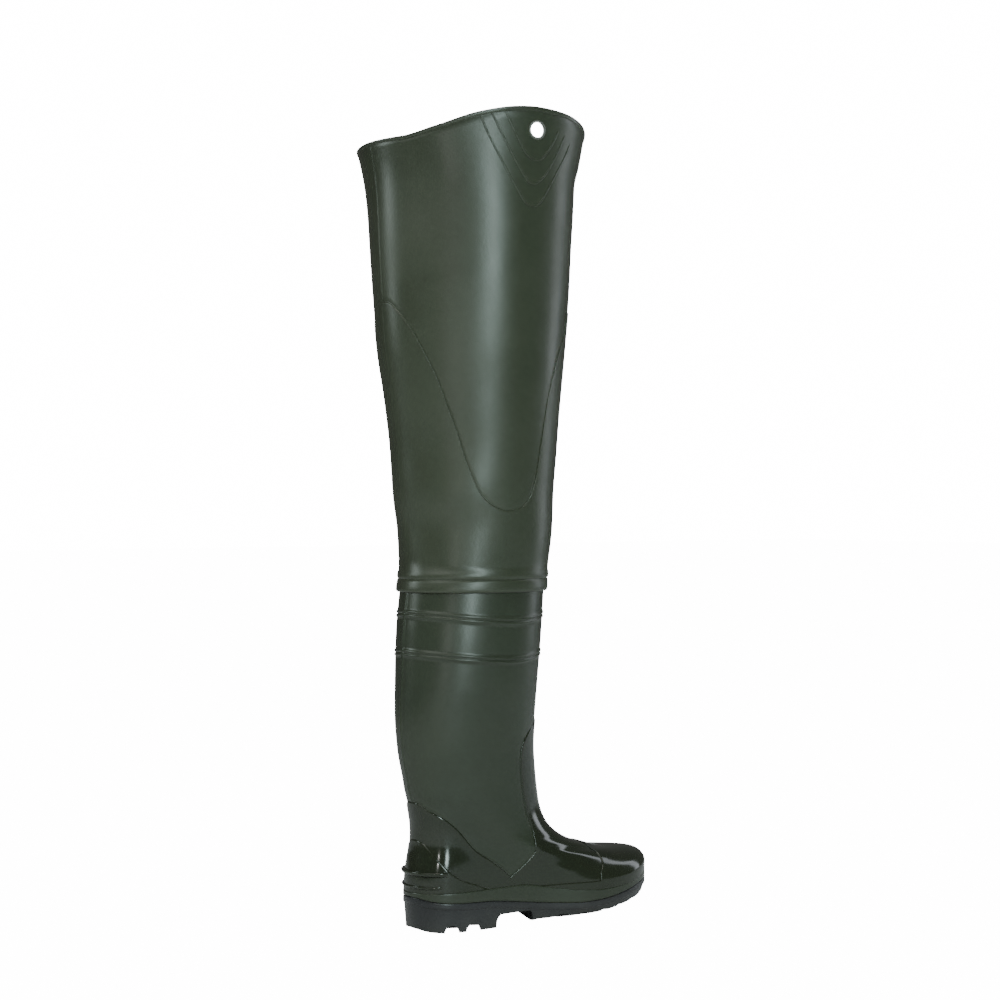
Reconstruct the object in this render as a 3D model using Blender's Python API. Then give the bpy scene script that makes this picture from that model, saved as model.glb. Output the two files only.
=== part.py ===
"""Hip wader, right boot, standing empty on its sole.

Metres, +Z up, +X to the toe, +Y to the inner (medial) side of the leg. The origin is on the floor
under the middle of the heel. The boot, the thigh leg, the outsole and the insole are four closed
solids, 0.3 mm apart where they meet.
"""

import math

import bmesh
import bpy
import numpy as np
from mathutils import Matrix

# Driving dimensions
SOLE_LENGTH = 0.307
HEEL_OVERHANG = 0.040
HEEL_WIDTH = 0.078
BALL_WIDTH = 0.110
HEEL_HEIGHT = 0.030
INSTEP_HEIGHT = 0.100
BOOT_HEIGHT = 0.368
LEG_CENTRE = 0.0350
SHAFT_DEPTH = 0.160
SHAFT_WIDTH = 0.122
COLLAR_HEIGHT = 0.834
COLLAR_DEPTH = 0.242
COLLAR_WIDTH = 0.212
COLLAR_SLOPE = 0.0365
BOOT_WALL = 0.0023
THIGH_WALL = 0.0016
CUFF_OVERLAP = 0.022
CUFF_BULGE = 0.0018
RIB_HEIGHT = 0.0012
RIDGE_HEIGHT = 0.0012
INSOLE_THICKNESS = 0.004
ARCH_CLEARANCE = 0.013
LUG_DEPTH = 0.0055
GROOVE_WIDTH = 0.009
TREAD_CROWN = 0.0035
EYELET_DIAMETER = 0.0155
EYELET_BELOW_RIM = 0.023
EYELET_FORWARD = 0.0085
RAND_ROUND = 0.001
RIB_WIDTH = 0.0066
COLLAR_HEM = 0.005
HEM_STEP = 0.0006
EDGE_DRAFT = 0.003
EDGE_STEP = 0.001
EDGE_BAND = 0.006
OVERLAY_ROOT = 0.0025
CLEARANCE = 0.0003
INSOLE_CLEARANCE = 0.0006

# Levels of the shaft's outer sections, inner sections and ribs, as shares of the height from the instep
# to the boot's top, and those of the thigh leg, as shares of the height from there to the collar. The
# leg's raised panel needs the first ones only.
SHAFT_LEVELS = (0.20, 0.26, 0.34, 0.44, 0.53, 0.71, 0.855)
INNER_LEVELS = (1.0, 0.90, 0.60, 0.40, 0.28, 0.20)
RIB_LEVELS = (0.619, 0.793)
THIGH_LEVELS = (0.02, 0.09, 0.17, 0.28, 0.38, 0.49, 0.62, 0.72, 0.81, 0.87, 0.92)
PANEL_LEVELS = 8

# Profiles: a rib's height over half its width, the cuff's bulge over its length, how far the tread's
# crown lifts the sole's edge along the sole, and how fast the collar's fall fades out down the leg
RIB_PROFILE = ((-1.3, 0.0), (-1.0, 1.0), (1.0, 1.0), (1.3, 0.0))
CUFF_PROFILE = ((0.0, 0.3), (0.07, 1.0), (0.75, 1.0), (0.97, 0.2))
CROWN_PROFILE = ((0.0, 0.0), (0.36, 0.0), (0.48, 1.0), (1.0, 1.0))
FALL_POWER = 4

# Points around each section of the boot and of the thigh leg, sides of the round cuts, and the angle
# above which an edge is shaded sharp
AROUND = 42
NOTCH_SIDES = 12
EYELET_SIDES = 20
SHARP_ANGLE = 40.0

# Heights along the sole, as shares of HEEL_HEIGHT: part is the sole's top edge, rand is the top edge
# of the green rand above it, and tread is the underside before it is cut.
SOLE_HEIGHTS = (
    # along, part, rand, tread
    (0.00, 1.20, 1.36, 0.17),
    (0.04, 1.08, 1.36, 0.04),
    (0.10, 1.00, 1.36, 0.00),
    (0.24, 0.95, 1.38, 0.00),
    (0.37, 0.78, 1.37, 0.00),
    (0.50, 0.61, 1.15, 0.00),
    (0.60, 0.54, 1.00, 0.00),
    (0.70, 0.60, 0.95, 0.05),
    (0.80, 0.73, 0.98, 0.17),
    (0.90, 0.90, 1.14, 0.32),
    (1.00, 1.05, 1.36, 0.52),
)

# Sections of the foot, from the rand up to the instep. back and front are places along the sole.
# back_rise and front_rise are shares of INSTEP_HEIGHT above the rand. A width is a half-width divided by
# the sine of the section's angle, so that both ends come out round: heel_end and heel are shares of
# HEEL_WIDTH, and waist, ball and toe_end of BALL_WIDTH. dip is how far the section follows the rand's
# top edge, and swing how far its middle line follows the sole's bend to the medial side.
FOOT_SECTIONS = (
    # back, front, back_rise, front_rise, heel_end, heel, waist, ball, toe_end, dip, swing
    (0.008, 0.992, 0.00, 0.00, 0.91, 0.625, 0.306, 0.498, 0.68, 1.00, 1.0),
    (0.009, 0.993, 0.09, 0.085, 0.90, 0.615, 0.314, 0.503, 0.68, 1.00, 1.0),
    (0.012, 0.975, 0.19, 0.160, 0.885, 0.61, 0.325, 0.477, 0.645, 0.85, 1.0),
    (0.018, 0.930, 0.30, 0.205, 0.86, 0.60, 0.332, 0.423, 0.565, 0.60, 0.9),
    (0.025, 0.868, 0.41, 0.230, 0.82, 0.585, 0.341, 0.386, 0.46, 0.38, 0.75),
    (0.028, 0.795, 0.51, 0.243, 0.78, 0.57, 0.350, 0.360, 0.39, 0.20, 0.6),
    (0.028, 0.738, 0.60, 0.282, 0.745, 0.56, 0.360, 0.350, 0.365, 0.08, 0.45),
    (0.026, 0.660, 0.69, 0.352, 0.705, 0.55, 0.368, 0.350, 0.360, 0.00, 0.3),
    (0.021, 0.594, 0.78, 0.460, 0.665, 0.55, 0.377, 0.360, 0.360, 0.00, 0.2),
    (0.014, 0.549, 0.89, 0.59, 0.64, 0.55, 0.386, 0.373, 0.369, 0.00, 0.1),
    (0.002, 0.521, 1.02, 0.75, 0.62, 0.555, 0.395, 0.386, 0.380, 0.00, 0.0),
    (-0.007, 0.506, 1.16, 0.97, 0.615, 0.57, 0.405, 0.400, 0.395, 0.00, 0.0),
)

# Sections of the boot's shaft. rise is a share of the height from the instep to the boot's top. back and
# front are shares of half of SHAFT_DEPTH from LEG_CENTRE, and the widths are shares of half of SHAFT_WIDTH.
SHAFT_SECTIONS = (
    # rise, back, front, width_back, width_side, width_front
    (0.20, -1.035, 0.940, 0.82, 0.80, 0.79),
    (0.34, -1.060, 0.960, 0.88, 0.87, 0.86),
    (0.50, -1.045, 0.985, 0.95, 0.95, 0.94),
    (0.72, -1.02, 1.03, 0.985, 1.00, 1.00),
    (1.00, -0.93, 1.08, 0.99, 1.01, 1.01),
)

# Sections of the thigh leg above the boot's top. rise is a share of the height from the boot's top to
# the collar, centre and depth are shares of half of COLLAR_DEPTH, and the widths are shares of half of
# COLLAR_WIDTH.
THIGH_SECTIONS = (
    # rise, centre, depth, width_back, width_side, width_front
    (0.09, 0.351, 0.711, 0.59, 0.64, 0.64),
    (0.17, 0.335, 0.736, 0.61, 0.67, 0.67),
    (0.28, 0.333, 0.770, 0.63, 0.72, 0.73),
    (0.38, 0.323, 0.810, 0.66, 0.765, 0.765),
    (0.49, 0.304, 0.859, 0.70, 0.82, 0.82),
    (0.62, 0.304, 0.901, 0.74, 0.865, 0.86),
    (0.72, 0.300, 0.920, 0.77, 0.895, 0.89),
    (0.81, 0.300, 0.936, 0.80, 0.920, 0.92),
    (0.87, 0.2945, 0.9455, 0.83, 0.945, 0.95),
    (0.92, 0.3045, 0.9765, 0.868, 0.975, 0.982),
    (1.00, 0.310, 1.030, 0.94, 1.010, 1.02),
)

# Fall of the collar's rim below its highest point, around the leg from the middle of the back over the
# outer side. turn is a share of the whole turn, fall a share of COLLAR_SLOPE.
COLLAR_RIM = (
    # turn, fall
    (0.00, 0.93),
    (0.07, 0.88),
    (0.12, 0.64),
    (0.18, 0.24),
    (0.23, 0.04),
    (0.26, 0.00),
    (0.31, 0.03),
    (0.36, 0.14),
    (0.42, 0.34),
    (0.50, 0.56),
    (0.62, 0.82),
    (0.76, 0.96),
    (0.91, 1.00),
    (1.00, 0.93),
)

# The sole's own outline, and how its middle line bends
SOLE_OUTLINE = (0.942, 0.662, 0.325, 0.520, 0.700)
WIDTH_STATIONS = (0.00, 0.17, 0.42, 0.70, 1.00)
SWING = (
    # along, share of BALL_WIDTH
    (0.00, 0.000),
    (0.17, 0.000),
    (0.42, -0.030),
    (0.62, -0.023),
    (0.70, -0.010),
    (0.80, 0.018),
    (0.90, 0.050),
    (1.00, 0.090),
)

# Overlays moulded on the boot, seen from the side: height over the wall, last row of the sections that
# they need, and an outline of places along the sole and heights as shares of the instep's level.
COUNTER = (0.0012, 11, (
    (-0.06, 0.14), (0.345, 0.14), (0.345, 0.30), (0.335, 0.35), (0.310, 0.41), (0.247, 0.50),
    (0.183, 0.585), (0.143, 0.707), (0.091, 0.81), (0.032, 0.89), (0.015, 0.935), (-0.06, 0.95),
))
VAMP_PANEL = (0.0010, 15, (
    (1.15, 0.14), (1.15, 1.62), (0.51, 1.56), (0.468, 1.49), (0.415, 1.425), (0.374, 1.35),
    (0.359, 1.23), (0.375, 0.99), (0.394, 0.81), (0.422, 0.675), (0.431, 0.60), (0.428, 0.54),
    (0.382, 0.44), (0.300, 0.316), (0.277, 0.25), (0.277, 0.14),
))
TOE_CAP = (0.0020, 8, (
    (1.15, 0.10), (1.15, 0.75), (0.735, 0.75), (0.715, 0.52), (0.703, 0.48), (0.705, 0.41),
    (0.681, 0.31), (0.673, 0.20), (0.671, 0.10),
))
KICK_LEDGE = (0.0045, 5, ((-0.06, 0.385), (0.033, 0.385), (0.033, 0.435), (-0.06, 0.435)))
LOW_LEDGE = (0.0032, 5, ((-0.06, 0.305), (0.033, 0.305), (0.033, 0.342), (-0.06, 0.342)))

# The thigh leg's raised lower panel: height over the wall, and its upper edge from back to front, as
# shares of COLLAR_DEPTH from the origin and of the leg's height over the boot.
LEG_PANEL = (0.0008, (
    (-0.45, 0.597), (-0.296, 0.592), (-0.274, 0.569), (-0.243, 0.531), (-0.198, 0.471),
    (-0.160, 0.422), (-0.117, 0.360), (-0.067, 0.291), (-0.023, 0.203), (0.023, 0.163),
    (0.094, 0.138), (0.144, 0.133), (0.211, 0.138), (0.265, 0.163), (0.301, 0.218),
    (0.313, 0.283), (0.348, 0.386), (0.402, 0.468), (0.465, 0.523), (0.497, 0.575),
    (0.560, 0.615), (0.75, 0.63),
))

# Cuts under the sole: the arch seen from the side, as places along the sole and shares of
# ARCH_CLEARANCE, with its front end leaning forward to the inner side from ARCH_PIVOT, a share of
# BALL_WIDTH; the heel's round notches, which lean back, with their length as a share of HEEL_WIDTH; and
# the grooves between the forefoot's lugs, with their start and length as shares of BALL_WIDTH. TREAD_BAND
# is how far the flat middle of the tread stays inside the sole's edge, also as a share of BALL_WIDTH.
ARCH = ((0.268, -1.0), (0.280, 0.75), (0.290, 1.0), (0.405, 1.0), (0.417, 0.65), (0.421, -1.0))
ARCH_LEAN = 20.0
ARCH_PIVOT = -0.39
HEEL_NOTCHES = (0.091, 0.176)
HEEL_NOTCH_RADIUS = 0.0075
HEEL_NOTCH_LENGTH = 0.25
HEEL_NOTCH_LEAN = 30.0
OUTER_GROOVES = (0.505, 0.583, 0.661, 0.739, 0.817, 0.895)
INNER_GROOVES = (0.583, 0.661, 0.739, 0.817, 0.895)
GROOVE_LEAN = 14.0
GROOVE_FROM_MIDDLE = 0.10
GROOVE_LENGTH = 0.6
TREAD_BAND = 0.18


def smooth(places, values, at):
    """Read a curve through the values that doesn't overshoot them. The values may have columns."""
    places = np.asarray(places, float)
    values = np.asarray(values, float)
    flat = values.reshape(len(places), -1)
    step = np.diff(places)[:, None]
    slope = np.diff(flat, axis=0) / step
    tangent = np.empty_like(flat)
    tangent[0] = slope[0]
    tangent[-1] = slope[-1]
    same = slope[:-1] * slope[1:] > 0.0
    total = np.where(same, slope[:-1] + slope[1:], 1.0)
    tangent[1:-1] = np.where(same, 2.0 * slope[:-1] * slope[1:] / total, 0.0)
    at = np.asarray(at, float)
    spot = np.clip(at.ravel(), places[0], places[-1])
    low = np.clip(np.searchsorted(places, spot) - 1, 0, len(places) - 2)
    width = step[low]
    share = (spot - places[low])[:, None] / width
    result = (
        flat[low] * (1.0 + 2.0 * share) * (1.0 - share) ** 2
        + tangent[low] * width * share * (1.0 - share) ** 2
        + flat[low + 1] * share**2 * (3.0 - 2.0 * share)
        - tangent[low + 1] * width * share**2 * (1.0 - share)
    )
    return result.reshape(at.shape + values.shape[1:])


def column(table, number):
    return [row[number] for row in table]


def sole_height(edge, along):
    """Height of the sole's part, rand or tread line at a place along the sole."""
    number = {"part": 1, "rand": 2, "tread": 3}[edge]
    return HEEL_HEIGHT * smooth(column(SOLE_HEIGHTS, 0), column(SOLE_HEIGHTS, number), along)


ANGLES = np.arange(AROUND) * 2.0 * math.pi / AROUND
RAND_LEVEL = float(sole_height("rand", 0.0))
INSTEP_LEVEL = RAND_LEVEL + INSTEP_HEIGHT
FOOT_SIZES = np.array([HEEL_WIDTH, HEEL_WIDTH, BALL_WIDTH, BALL_WIDTH, BALL_WIDTH])
STATION_ALONG = (1.0 - np.cos(ANGLES[: AROUND // 2 + 1])) / 2.0


def boot_rows():
    """The boot's sections in metres: back, front, both heights, five widths, dip and swing."""
    rows = []
    for back, front, back_rise, front_rise, *widths, dip, swing in FOOT_SECTIONS:
        places = [share * SOLE_LENGTH - HEEL_OVERHANG for share in (back, front)]
        heights = [RAND_LEVEL + share * INSTEP_HEIGHT for share in (back_rise, front_rise)]
        rows.append([*places, *heights, *(np.array(widths) * FOOT_SIZES), dip, swing])
    for rise, back, front, width_back, width_side, width_front in SHAFT_SECTIONS:
        places = [LEG_CENTRE + share * SHAFT_DEPTH / 2.0 for share in (back, front)]
        height = INSTEP_LEVEL + rise * (BOOT_HEIGHT - INSTEP_LEVEL)
        widths = (width_back, (width_back + width_side) / 2.0, width_side,
                  (width_side + width_front) / 2.0, width_front)
        rows.append([*places, height, height, *(np.array(widths) * SHAFT_WIDTH / 2.0), 0.0, 0.0])
    return np.array(rows)


BOOT_ROWS = boot_rows()


def boot_section(row, angles=ANGLES):
    """Points of the boot's outer face around one section. A row number may lie between two rows."""
    back, front, back_height, front_height, *widths, dip, swing = smooth(
        range(len(BOOT_ROWS)), BOOT_ROWS, row)
    share = (1.0 - np.cos(angles)) / 2.0
    x = back + (front - back) * share
    along = (x + HEEL_OVERHANG) / SOLE_LENGTH
    middle = swing * BALL_WIDTH * smooth(column(SWING, 0), column(SWING, 1), share)
    y = middle - smooth(WIDTH_STATIONS, widths, share) * np.sin(angles)
    dipped = dip * (sole_height("rand", along) - RAND_LEVEL)
    z = back_height + (front_height - back_height) * share + dipped
    return np.stack([x, y, z], axis=1)


def thigh_rows():
    """The thigh leg's sections in metres: height, back, front and three widths."""
    fit = CLEARANCE + THIGH_WALL
    top = BOOT_ROWS[-1]
    rows = [[BOOT_HEIGHT, top[0] - fit, top[1] + fit, top[4] + fit, top[6] + fit, top[8] + fit]]
    for rise, centre, depth, *widths in THIGH_SECTIONS:
        height = BOOT_HEIGHT + rise * (COLLAR_HEIGHT - BOOT_HEIGHT)
        ends = [(centre + side * depth) * COLLAR_DEPTH / 2.0 for side in (-1.0, 1.0)]
        rows.append([height, *ends, *(np.array(widths) * COLLAR_WIDTH / 2.0)])
    return np.array(rows)


THIGH_ROWS = thigh_rows()


def thigh_section(height, angles=ANGLES):
    """Points of the thigh leg's outer face at a height, before the collar's fall is taken off."""
    _, back, front, *widths = smooth(THIGH_ROWS[:, 0], THIGH_ROWS, height)
    share = (1.0 - np.cos(angles)) / 2.0
    x = back + (front - back) * share
    y = -smooth((0.0, 0.5, 1.0), widths, share) * np.sin(angles)
    climb = np.clip((height - BOOT_HEIGHT) / (COLLAR_HEIGHT - BOOT_HEIGHT), 0.0, 1.0)
    fall = COLLAR_SLOPE * smooth(column(COLLAR_RIM, 0), column(COLLAR_RIM, 1), angles / (2.0 * math.pi))
    return np.stack([x, y, height - fall * climb**FALL_POWER], axis=1)


def pushed(section, place, offset, step, last, angles=ANGLES):
    """A section moved outwards along the surface's own normals."""
    points = section(place, angles)
    upwards = section(min(place + step, last), angles) - section(place - step, angles)
    around = section(place, angles + 0.01) - section(place, angles - 0.01)
    normals = np.cross(around, upwards)
    normals /= np.linalg.norm(normals, axis=1)[:, None]
    return points + normals * np.reshape(offset, (-1, 1))


def edge_line(angles, inset, edge, lift=0.0):
    """Points along the sole's outline, moved inwards, at the height of its part, rand or tread line."""
    share = (1.0 - np.cos(angles)) / 2.0
    middle = BALL_WIDTH * smooth(column(SWING, 0), column(SWING, 1), share)
    full = smooth(WIDTH_STATIONS, np.array(SOLE_OUTLINE) * FOOT_SIZES, share)
    x = SOLE_LENGTH * share - HEEL_OVERHANG
    y = middle - full * np.sin(angles)
    shrink = np.array([1.0 - 2.0 * inset / SOLE_LENGTH, 1.0 - 2.0 * inset / BALL_WIDTH])
    middle_x = SOLE_LENGTH / 2.0 - HEEL_OVERHANG
    x = middle_x + (x - middle_x) * shrink[0]
    y = middle + (y - middle) * shrink[1]
    along = (x + HEEL_OVERHANG) / SOLE_LENGTH
    return np.stack([x, y, sole_height(edge, along) + lift], axis=1)


def part_height(x):
    """Height of the sole's top face, which is straight between the outline's own points."""
    share = STATION_ALONG
    return np.interp(x, SOLE_LENGTH * share - HEEL_OVERHANG, sole_height("part", share))


def material(name, colour, roughness):
    made = bpy.data.materials.new(name)
    made.use_nodes = True
    shader = made.node_tree.nodes["Principled BSDF"]
    shader.inputs["Base Color"].default_value = (*colour, 1.0)
    shader.inputs["Roughness"].default_value = roughness
    shader.inputs["Metallic"].default_value = 0.0
    made.diffuse_color = (*colour, 1.0)
    return made


def new_object(name, mesh_data, finish=None):
    """Put a bmesh into the scene as a named object. With no finish it is a guide, left out of renders."""
    mesh = bpy.data.meshes.new(name)
    mesh_data.to_mesh(mesh)
    mesh_data.free()
    piece = bpy.data.objects.new(name, mesh)
    bpy.context.scene.collection.objects.link(piece)
    if finish is None:
        piece.hide_render = True
        piece.display_type = "WIRE"
    else:
        mesh.materials.append(finish)
        mesh.shade_smooth()
        mesh.set_sharp_from_angle(angle=math.radians(SHARP_ANGLE))
    return piece


def ring_faces(shape, rings, closed):
    """Faces between neighbouring rings of vertices; closed joins the last ring to the first."""
    last = len(rings) if closed else len(rings) - 1
    for number in range(last):
        low = rings[number]
        high = rings[(number + 1) % len(rings)]
        count = len(low)
        for place in range(count):
            after = (place + 1) % count
            shape.faces.new((low[place], low[after], high[after], high[place]))


def tube(sections):
    """A closed body from rings that run up its outer face and down its inner one."""
    shape = bmesh.new()
    rings = [[shape.verts.new(point) for point in section] for section in sections]
    ring_faces(shape, rings, closed=True)
    bmesh.ops.triangulate(shape, faces=shape.faces[:])
    return shape


def slab(sections):
    """A closed body from rings that run up its side, with strips across its bottom and its top."""
    shape = bmesh.new()
    rings = [[shape.verts.new(point) for point in section] for section in sections]
    ring_faces(shape, rings, closed=False)
    for ring, upwards in ((rings[0], False), (rings[-1], True)):
        count = len(ring)
        for place in range(count // 2):
            corners = dict.fromkeys((place, place + 1, count - place - 1, (count - place) % count))
            face = [ring[corner] for corner in corners]
            shape.faces.new(face if upwards else face[::-1])
    bmesh.ops.triangulate(shape, faces=shape.faces[:])
    return shape


def side_prism(outline, low_y, high_y):
    """A closed body from an outline seen from the side, as points (x, z) that run anticlockwise."""
    shape = bmesh.new()
    near = [shape.verts.new((x, low_y, z)) for x, z in outline]
    far = [shape.verts.new((x, high_y, z)) for x, z in outline]
    shape.faces.new(near)
    shape.faces.new(far[::-1])
    ring_faces(shape, [far, near], closed=False)
    bmesh.ops.recalc_face_normals(shape, faces=shape.faces[:])
    bmesh.ops.triangulate(shape, faces=shape.faces[:])
    return shape


def boolean(piece, other, operation):
    step = piece.modifiers.new(other.name, "BOOLEAN")
    step.operation = operation
    step.solver = "EXACT"
    step.object = other


def shaft_height(share):
    """Height at a share of the way from the instep to the boot's top."""
    return INSTEP_LEVEL + share * (BOOT_HEIGHT - INSTEP_LEVEL)


def leg_height(share):
    """Height at a share of the way from the boot's top to the collar."""
    return BOOT_HEIGHT + share * (COLLAR_HEIGHT - BOOT_HEIGHT)


def row_at(height):
    """Row number of the boot's level section at a height, above the instep."""
    rows = np.linspace(len(FOOT_SECTIONS), len(BOOT_ROWS) - 1, 200)
    return float(np.interp(height, smooth(range(len(BOOT_ROWS)), BOOT_ROWS[:, 2], rows), rows))


def boot_skin(row, offset=0.0):
    return pushed(boot_section, row, offset, 0.02, len(BOOT_ROWS) - 1)


def thigh_skin(height, offset=0.0):
    """The thigh leg's face. Below the boot's top it follows the boot, which it goes over."""
    if height < BOOT_HEIGHT:
        return boot_skin(row_at(height), offset + CLEARANCE + THIGH_WALL)
    return pushed(thigh_section, height, offset, 0.0005, COLLAR_HEIGHT)


HEM_HEIGHT = BOOT_HEIGHT - CUFF_OVERLAP


def boot_shape():
    """The moulded boot: rand, foot and shaft in one wall, open at its top and underneath."""
    sections = [
        edge_line(ANGLES, 0.0, "part", CLEARANCE),
        edge_line(ANGLES, 0.0, "rand", -RAND_ROUND),
        edge_line(ANGLES, RAND_ROUND, "rand"),
    ]
    sections[0][:, 2] = part_height(sections[0][:, 0]) + CLEARANCE
    sections += [boot_skin(row) for row in np.arange(0.0, len(FOOT_SECTIONS), 0.5)]
    levels = [(shaft_height(share), 0.0) for share in SHAFT_LEVELS]
    for share in RIB_LEVELS:
        for rise, height in RIB_PROFILE:
            levels.append((shaft_height(share) + rise * RIB_WIDTH / 2.0, height * RIB_HEIGHT))
    levels += [(HEM_HEIGHT, 0.0), (BOOT_HEIGHT, 0.0)]
    for height, offset in sorted(levels):
        ridge = np.zeros(AROUND)
        ridge[0] = RIDGE_HEIGHT * (height < HEM_HEIGHT - RIB_WIDTH)
        sections.append(boot_skin(row_at(height), offset + ridge))
    inside = [row_at(shaft_height(share)) for share in INNER_LEVELS]
    inside += list(np.arange(len(FOOT_SECTIONS) - 1.0, -0.5, -1.0))
    sections += [boot_skin(row, -BOOT_WALL) for row in inside]
    bottom = sections[-1].copy()
    bottom[:, 2] = part_height(bottom[:, 0]) + CLEARANCE
    return tube([*sections, bottom])


def thigh_shape():
    """The thigh leg: one thin wall with a hem cuff over the boot's top and a turned collar."""
    outside = [(HEM_HEIGHT + share * CUFF_OVERLAP, bulge * CUFF_BULGE) for share, bulge in CUFF_PROFILE]
    outside += [(leg_height(share), 0.0) for share in THIGH_LEVELS]
    outside += [(COLLAR_HEIGHT - COLLAR_HEM - HEM_STEP, 0.0), (COLLAR_HEIGHT - COLLAR_HEM, HEM_STEP),
                (COLLAR_HEIGHT, HEM_STEP)]
    inside = [COLLAR_HEIGHT, *map(leg_height, THIGH_LEVELS[::-2]), BOOT_HEIGHT, HEM_HEIGHT]
    sections = [thigh_skin(height, offset) for height, offset in outside]
    sections += [thigh_skin(height, -THIGH_WALL) for height in inside]
    return tube(sections)


def boot_shell(height, last_row):
    """A skin over the boot's wall, from inside the rand up, that overlays are cut from."""
    rows = list(np.arange(0.0, last_row + 0.5, 0.5))
    outside = [boot_skin(row, height) for row in rows]
    inside = [boot_skin(row, -BOOT_WALL / 2.0) for row in rows[::-1]]
    feet = [outside[0].copy(), inside[-1].copy()]
    for foot in feet:
        foot[:, 2] -= OVERLAY_ROOT
    return tube([feet[0], *outside, *inside, feet[1]])


def thigh_shell(height):
    """A skin over the thigh leg's wall, from inside the cuff to above the raised panel."""
    heights = [BOOT_HEIGHT - CUFF_OVERLAP / 2.0, *map(leg_height, THIGH_LEVELS[:PANEL_LEVELS])]
    outside = [thigh_skin(level, height) for level in heights]
    inside = [thigh_skin(level, -THIGH_WALL / 2.0) for level in heights[::-1]]
    return tube(outside + inside)


def add_overlay(piece, name, shell, outline):
    """Join to a piece the part of a skin that lies inside an outline seen from the side."""
    cutter = new_object(name + "_outline", side_prism(outline, -COLLAR_WIDTH, COLLAR_WIDTH))
    skin = new_object(name, shell)
    boolean(skin, cutter, "INTERSECT")
    boolean(piece, skin, "UNION")


def boot_outline(points):
    return [(along * SOLE_LENGTH - HEEL_OVERHANG, share * INSTEP_LEVEL) for along, share in points]


def leg_panel_outline(points):
    edge = [(share * COLLAR_DEPTH, leg_height(rise)) for share, rise in points]
    return [(edge[0][0], HEM_HEIGHT), (edge[-1][0], HEM_HEIGHT), *edge[::-1]]


def tread_cutter():
    """The arch, the heel's notches and the lug grooves as one guide of separate bodies."""
    arch = [(along * SOLE_LENGTH - HEEL_OVERHANG, share * ARCH_CLEARANCE) for along, share in ARCH]
    shape = side_prism(arch[::-1], -BALL_WIDTH, BALL_WIDTH)
    arch_middle = (arch[0][0] + arch[-1][0]) / 2.0
    for corner in shape.verts:
        if corner.co.x > arch_middle:
            inward = corner.co.y - ARCH_PIVOT * BALL_WIDTH
            corner.co.x += inward * math.tan(math.radians(ARCH_LEAN))
    for side, grooves in ((-1.0, OUTER_GROOVES), (1.0, INNER_GROOVES)):
        for along in HEEL_NOTCHES:
            place = Matrix.Translation((along * SOLE_LENGTH - HEEL_OVERHANG, side * HEEL_WIDTH / 2.0, 0.0))
            place = place @ Matrix.Rotation(math.radians(side * HEEL_NOTCH_LEAN), 4, "Z")
            bmesh.ops.create_cone(
                shape, cap_ends=True, segments=NOTCH_SIDES, radius1=HEEL_NOTCH_RADIUS,
                radius2=HEEL_NOTCH_RADIUS, depth=2.0 * HEEL_NOTCH_LENGTH * HEEL_WIDTH,
                matrix=place @ Matrix.Rotation(math.pi / 2.0, 4, "X"))
        for along in grooves:
            tread = float(sole_height("tread", along))
            inner = GROOVE_FROM_MIDDLE * BALL_WIDTH
            length = GROOVE_LENGTH * BALL_WIDTH
            place = Matrix.Translation((along * SOLE_LENGTH - HEEL_OVERHANG, 0.0, tread))
            turn = Matrix.Rotation(math.radians(-side * GROOVE_LEAN), 4, "Z")
            shift = Matrix.Translation((0.0, side * (inner + length / 2.0), 0.0))
            size = Matrix.Diagonal((GROOVE_WIDTH, length, 2.0 * LUG_DEPTH, 1.0))
            bmesh.ops.create_cube(shape, size=1.0, matrix=place @ turn @ shift @ size)
    return shape


def eyelet_cutter():
    shape = bmesh.new()
    place = Matrix.Translation((
        THIGH_SECTIONS[-1][1] * COLLAR_DEPTH / 2.0 + EYELET_FORWARD,
        -COLLAR_WIDTH / 2.0,
        COLLAR_HEIGHT - EYELET_BELOW_RIM,
    )) @ Matrix.Rotation(math.pi / 2.0, 4, "X")
    bmesh.ops.create_cone(shape, cap_ends=True, segments=EYELET_SIDES, radius1=EYELET_DIAMETER / 2.0,
                          radius2=EYELET_DIAMETER / 2.0, depth=COLLAR_WIDTH / 2.0, matrix=place)
    return shape


def outsole_shape():
    """The outsole's body, with its heel, edge step and toe spring, before its tread is cut."""
    share = (1.0 - np.cos(ANGLES)) / 2.0
    crown = TREAD_CROWN * smooth(column(CROWN_PROFILE, 0), column(CROWN_PROFILE, 1), share)
    return slab([
        edge_line(ANGLES, BALL_WIDTH * TREAD_BAND, "tread"),
        edge_line(ANGLES, EDGE_DRAFT, "tread", crown),
        edge_line(ANGLES, EDGE_STEP, "part", -EDGE_BAND - EDGE_STEP),
        edge_line(ANGLES, 0.0, "part", -EDGE_BAND),
        edge_line(ANGLES, 0.0, "part"),
    ])


def insole_shape():
    outline = boot_skin(0.0, -(BOOT_WALL + INSOLE_CLEARANCE))
    sections = []
    for lift in (CLEARANCE, CLEARANCE + INSOLE_THICKNESS):
        section = outline.copy()
        section[:, 2] = part_height(outline[:, 0]) + lift
        sections.append(section)
    return slab(sections)


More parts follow.
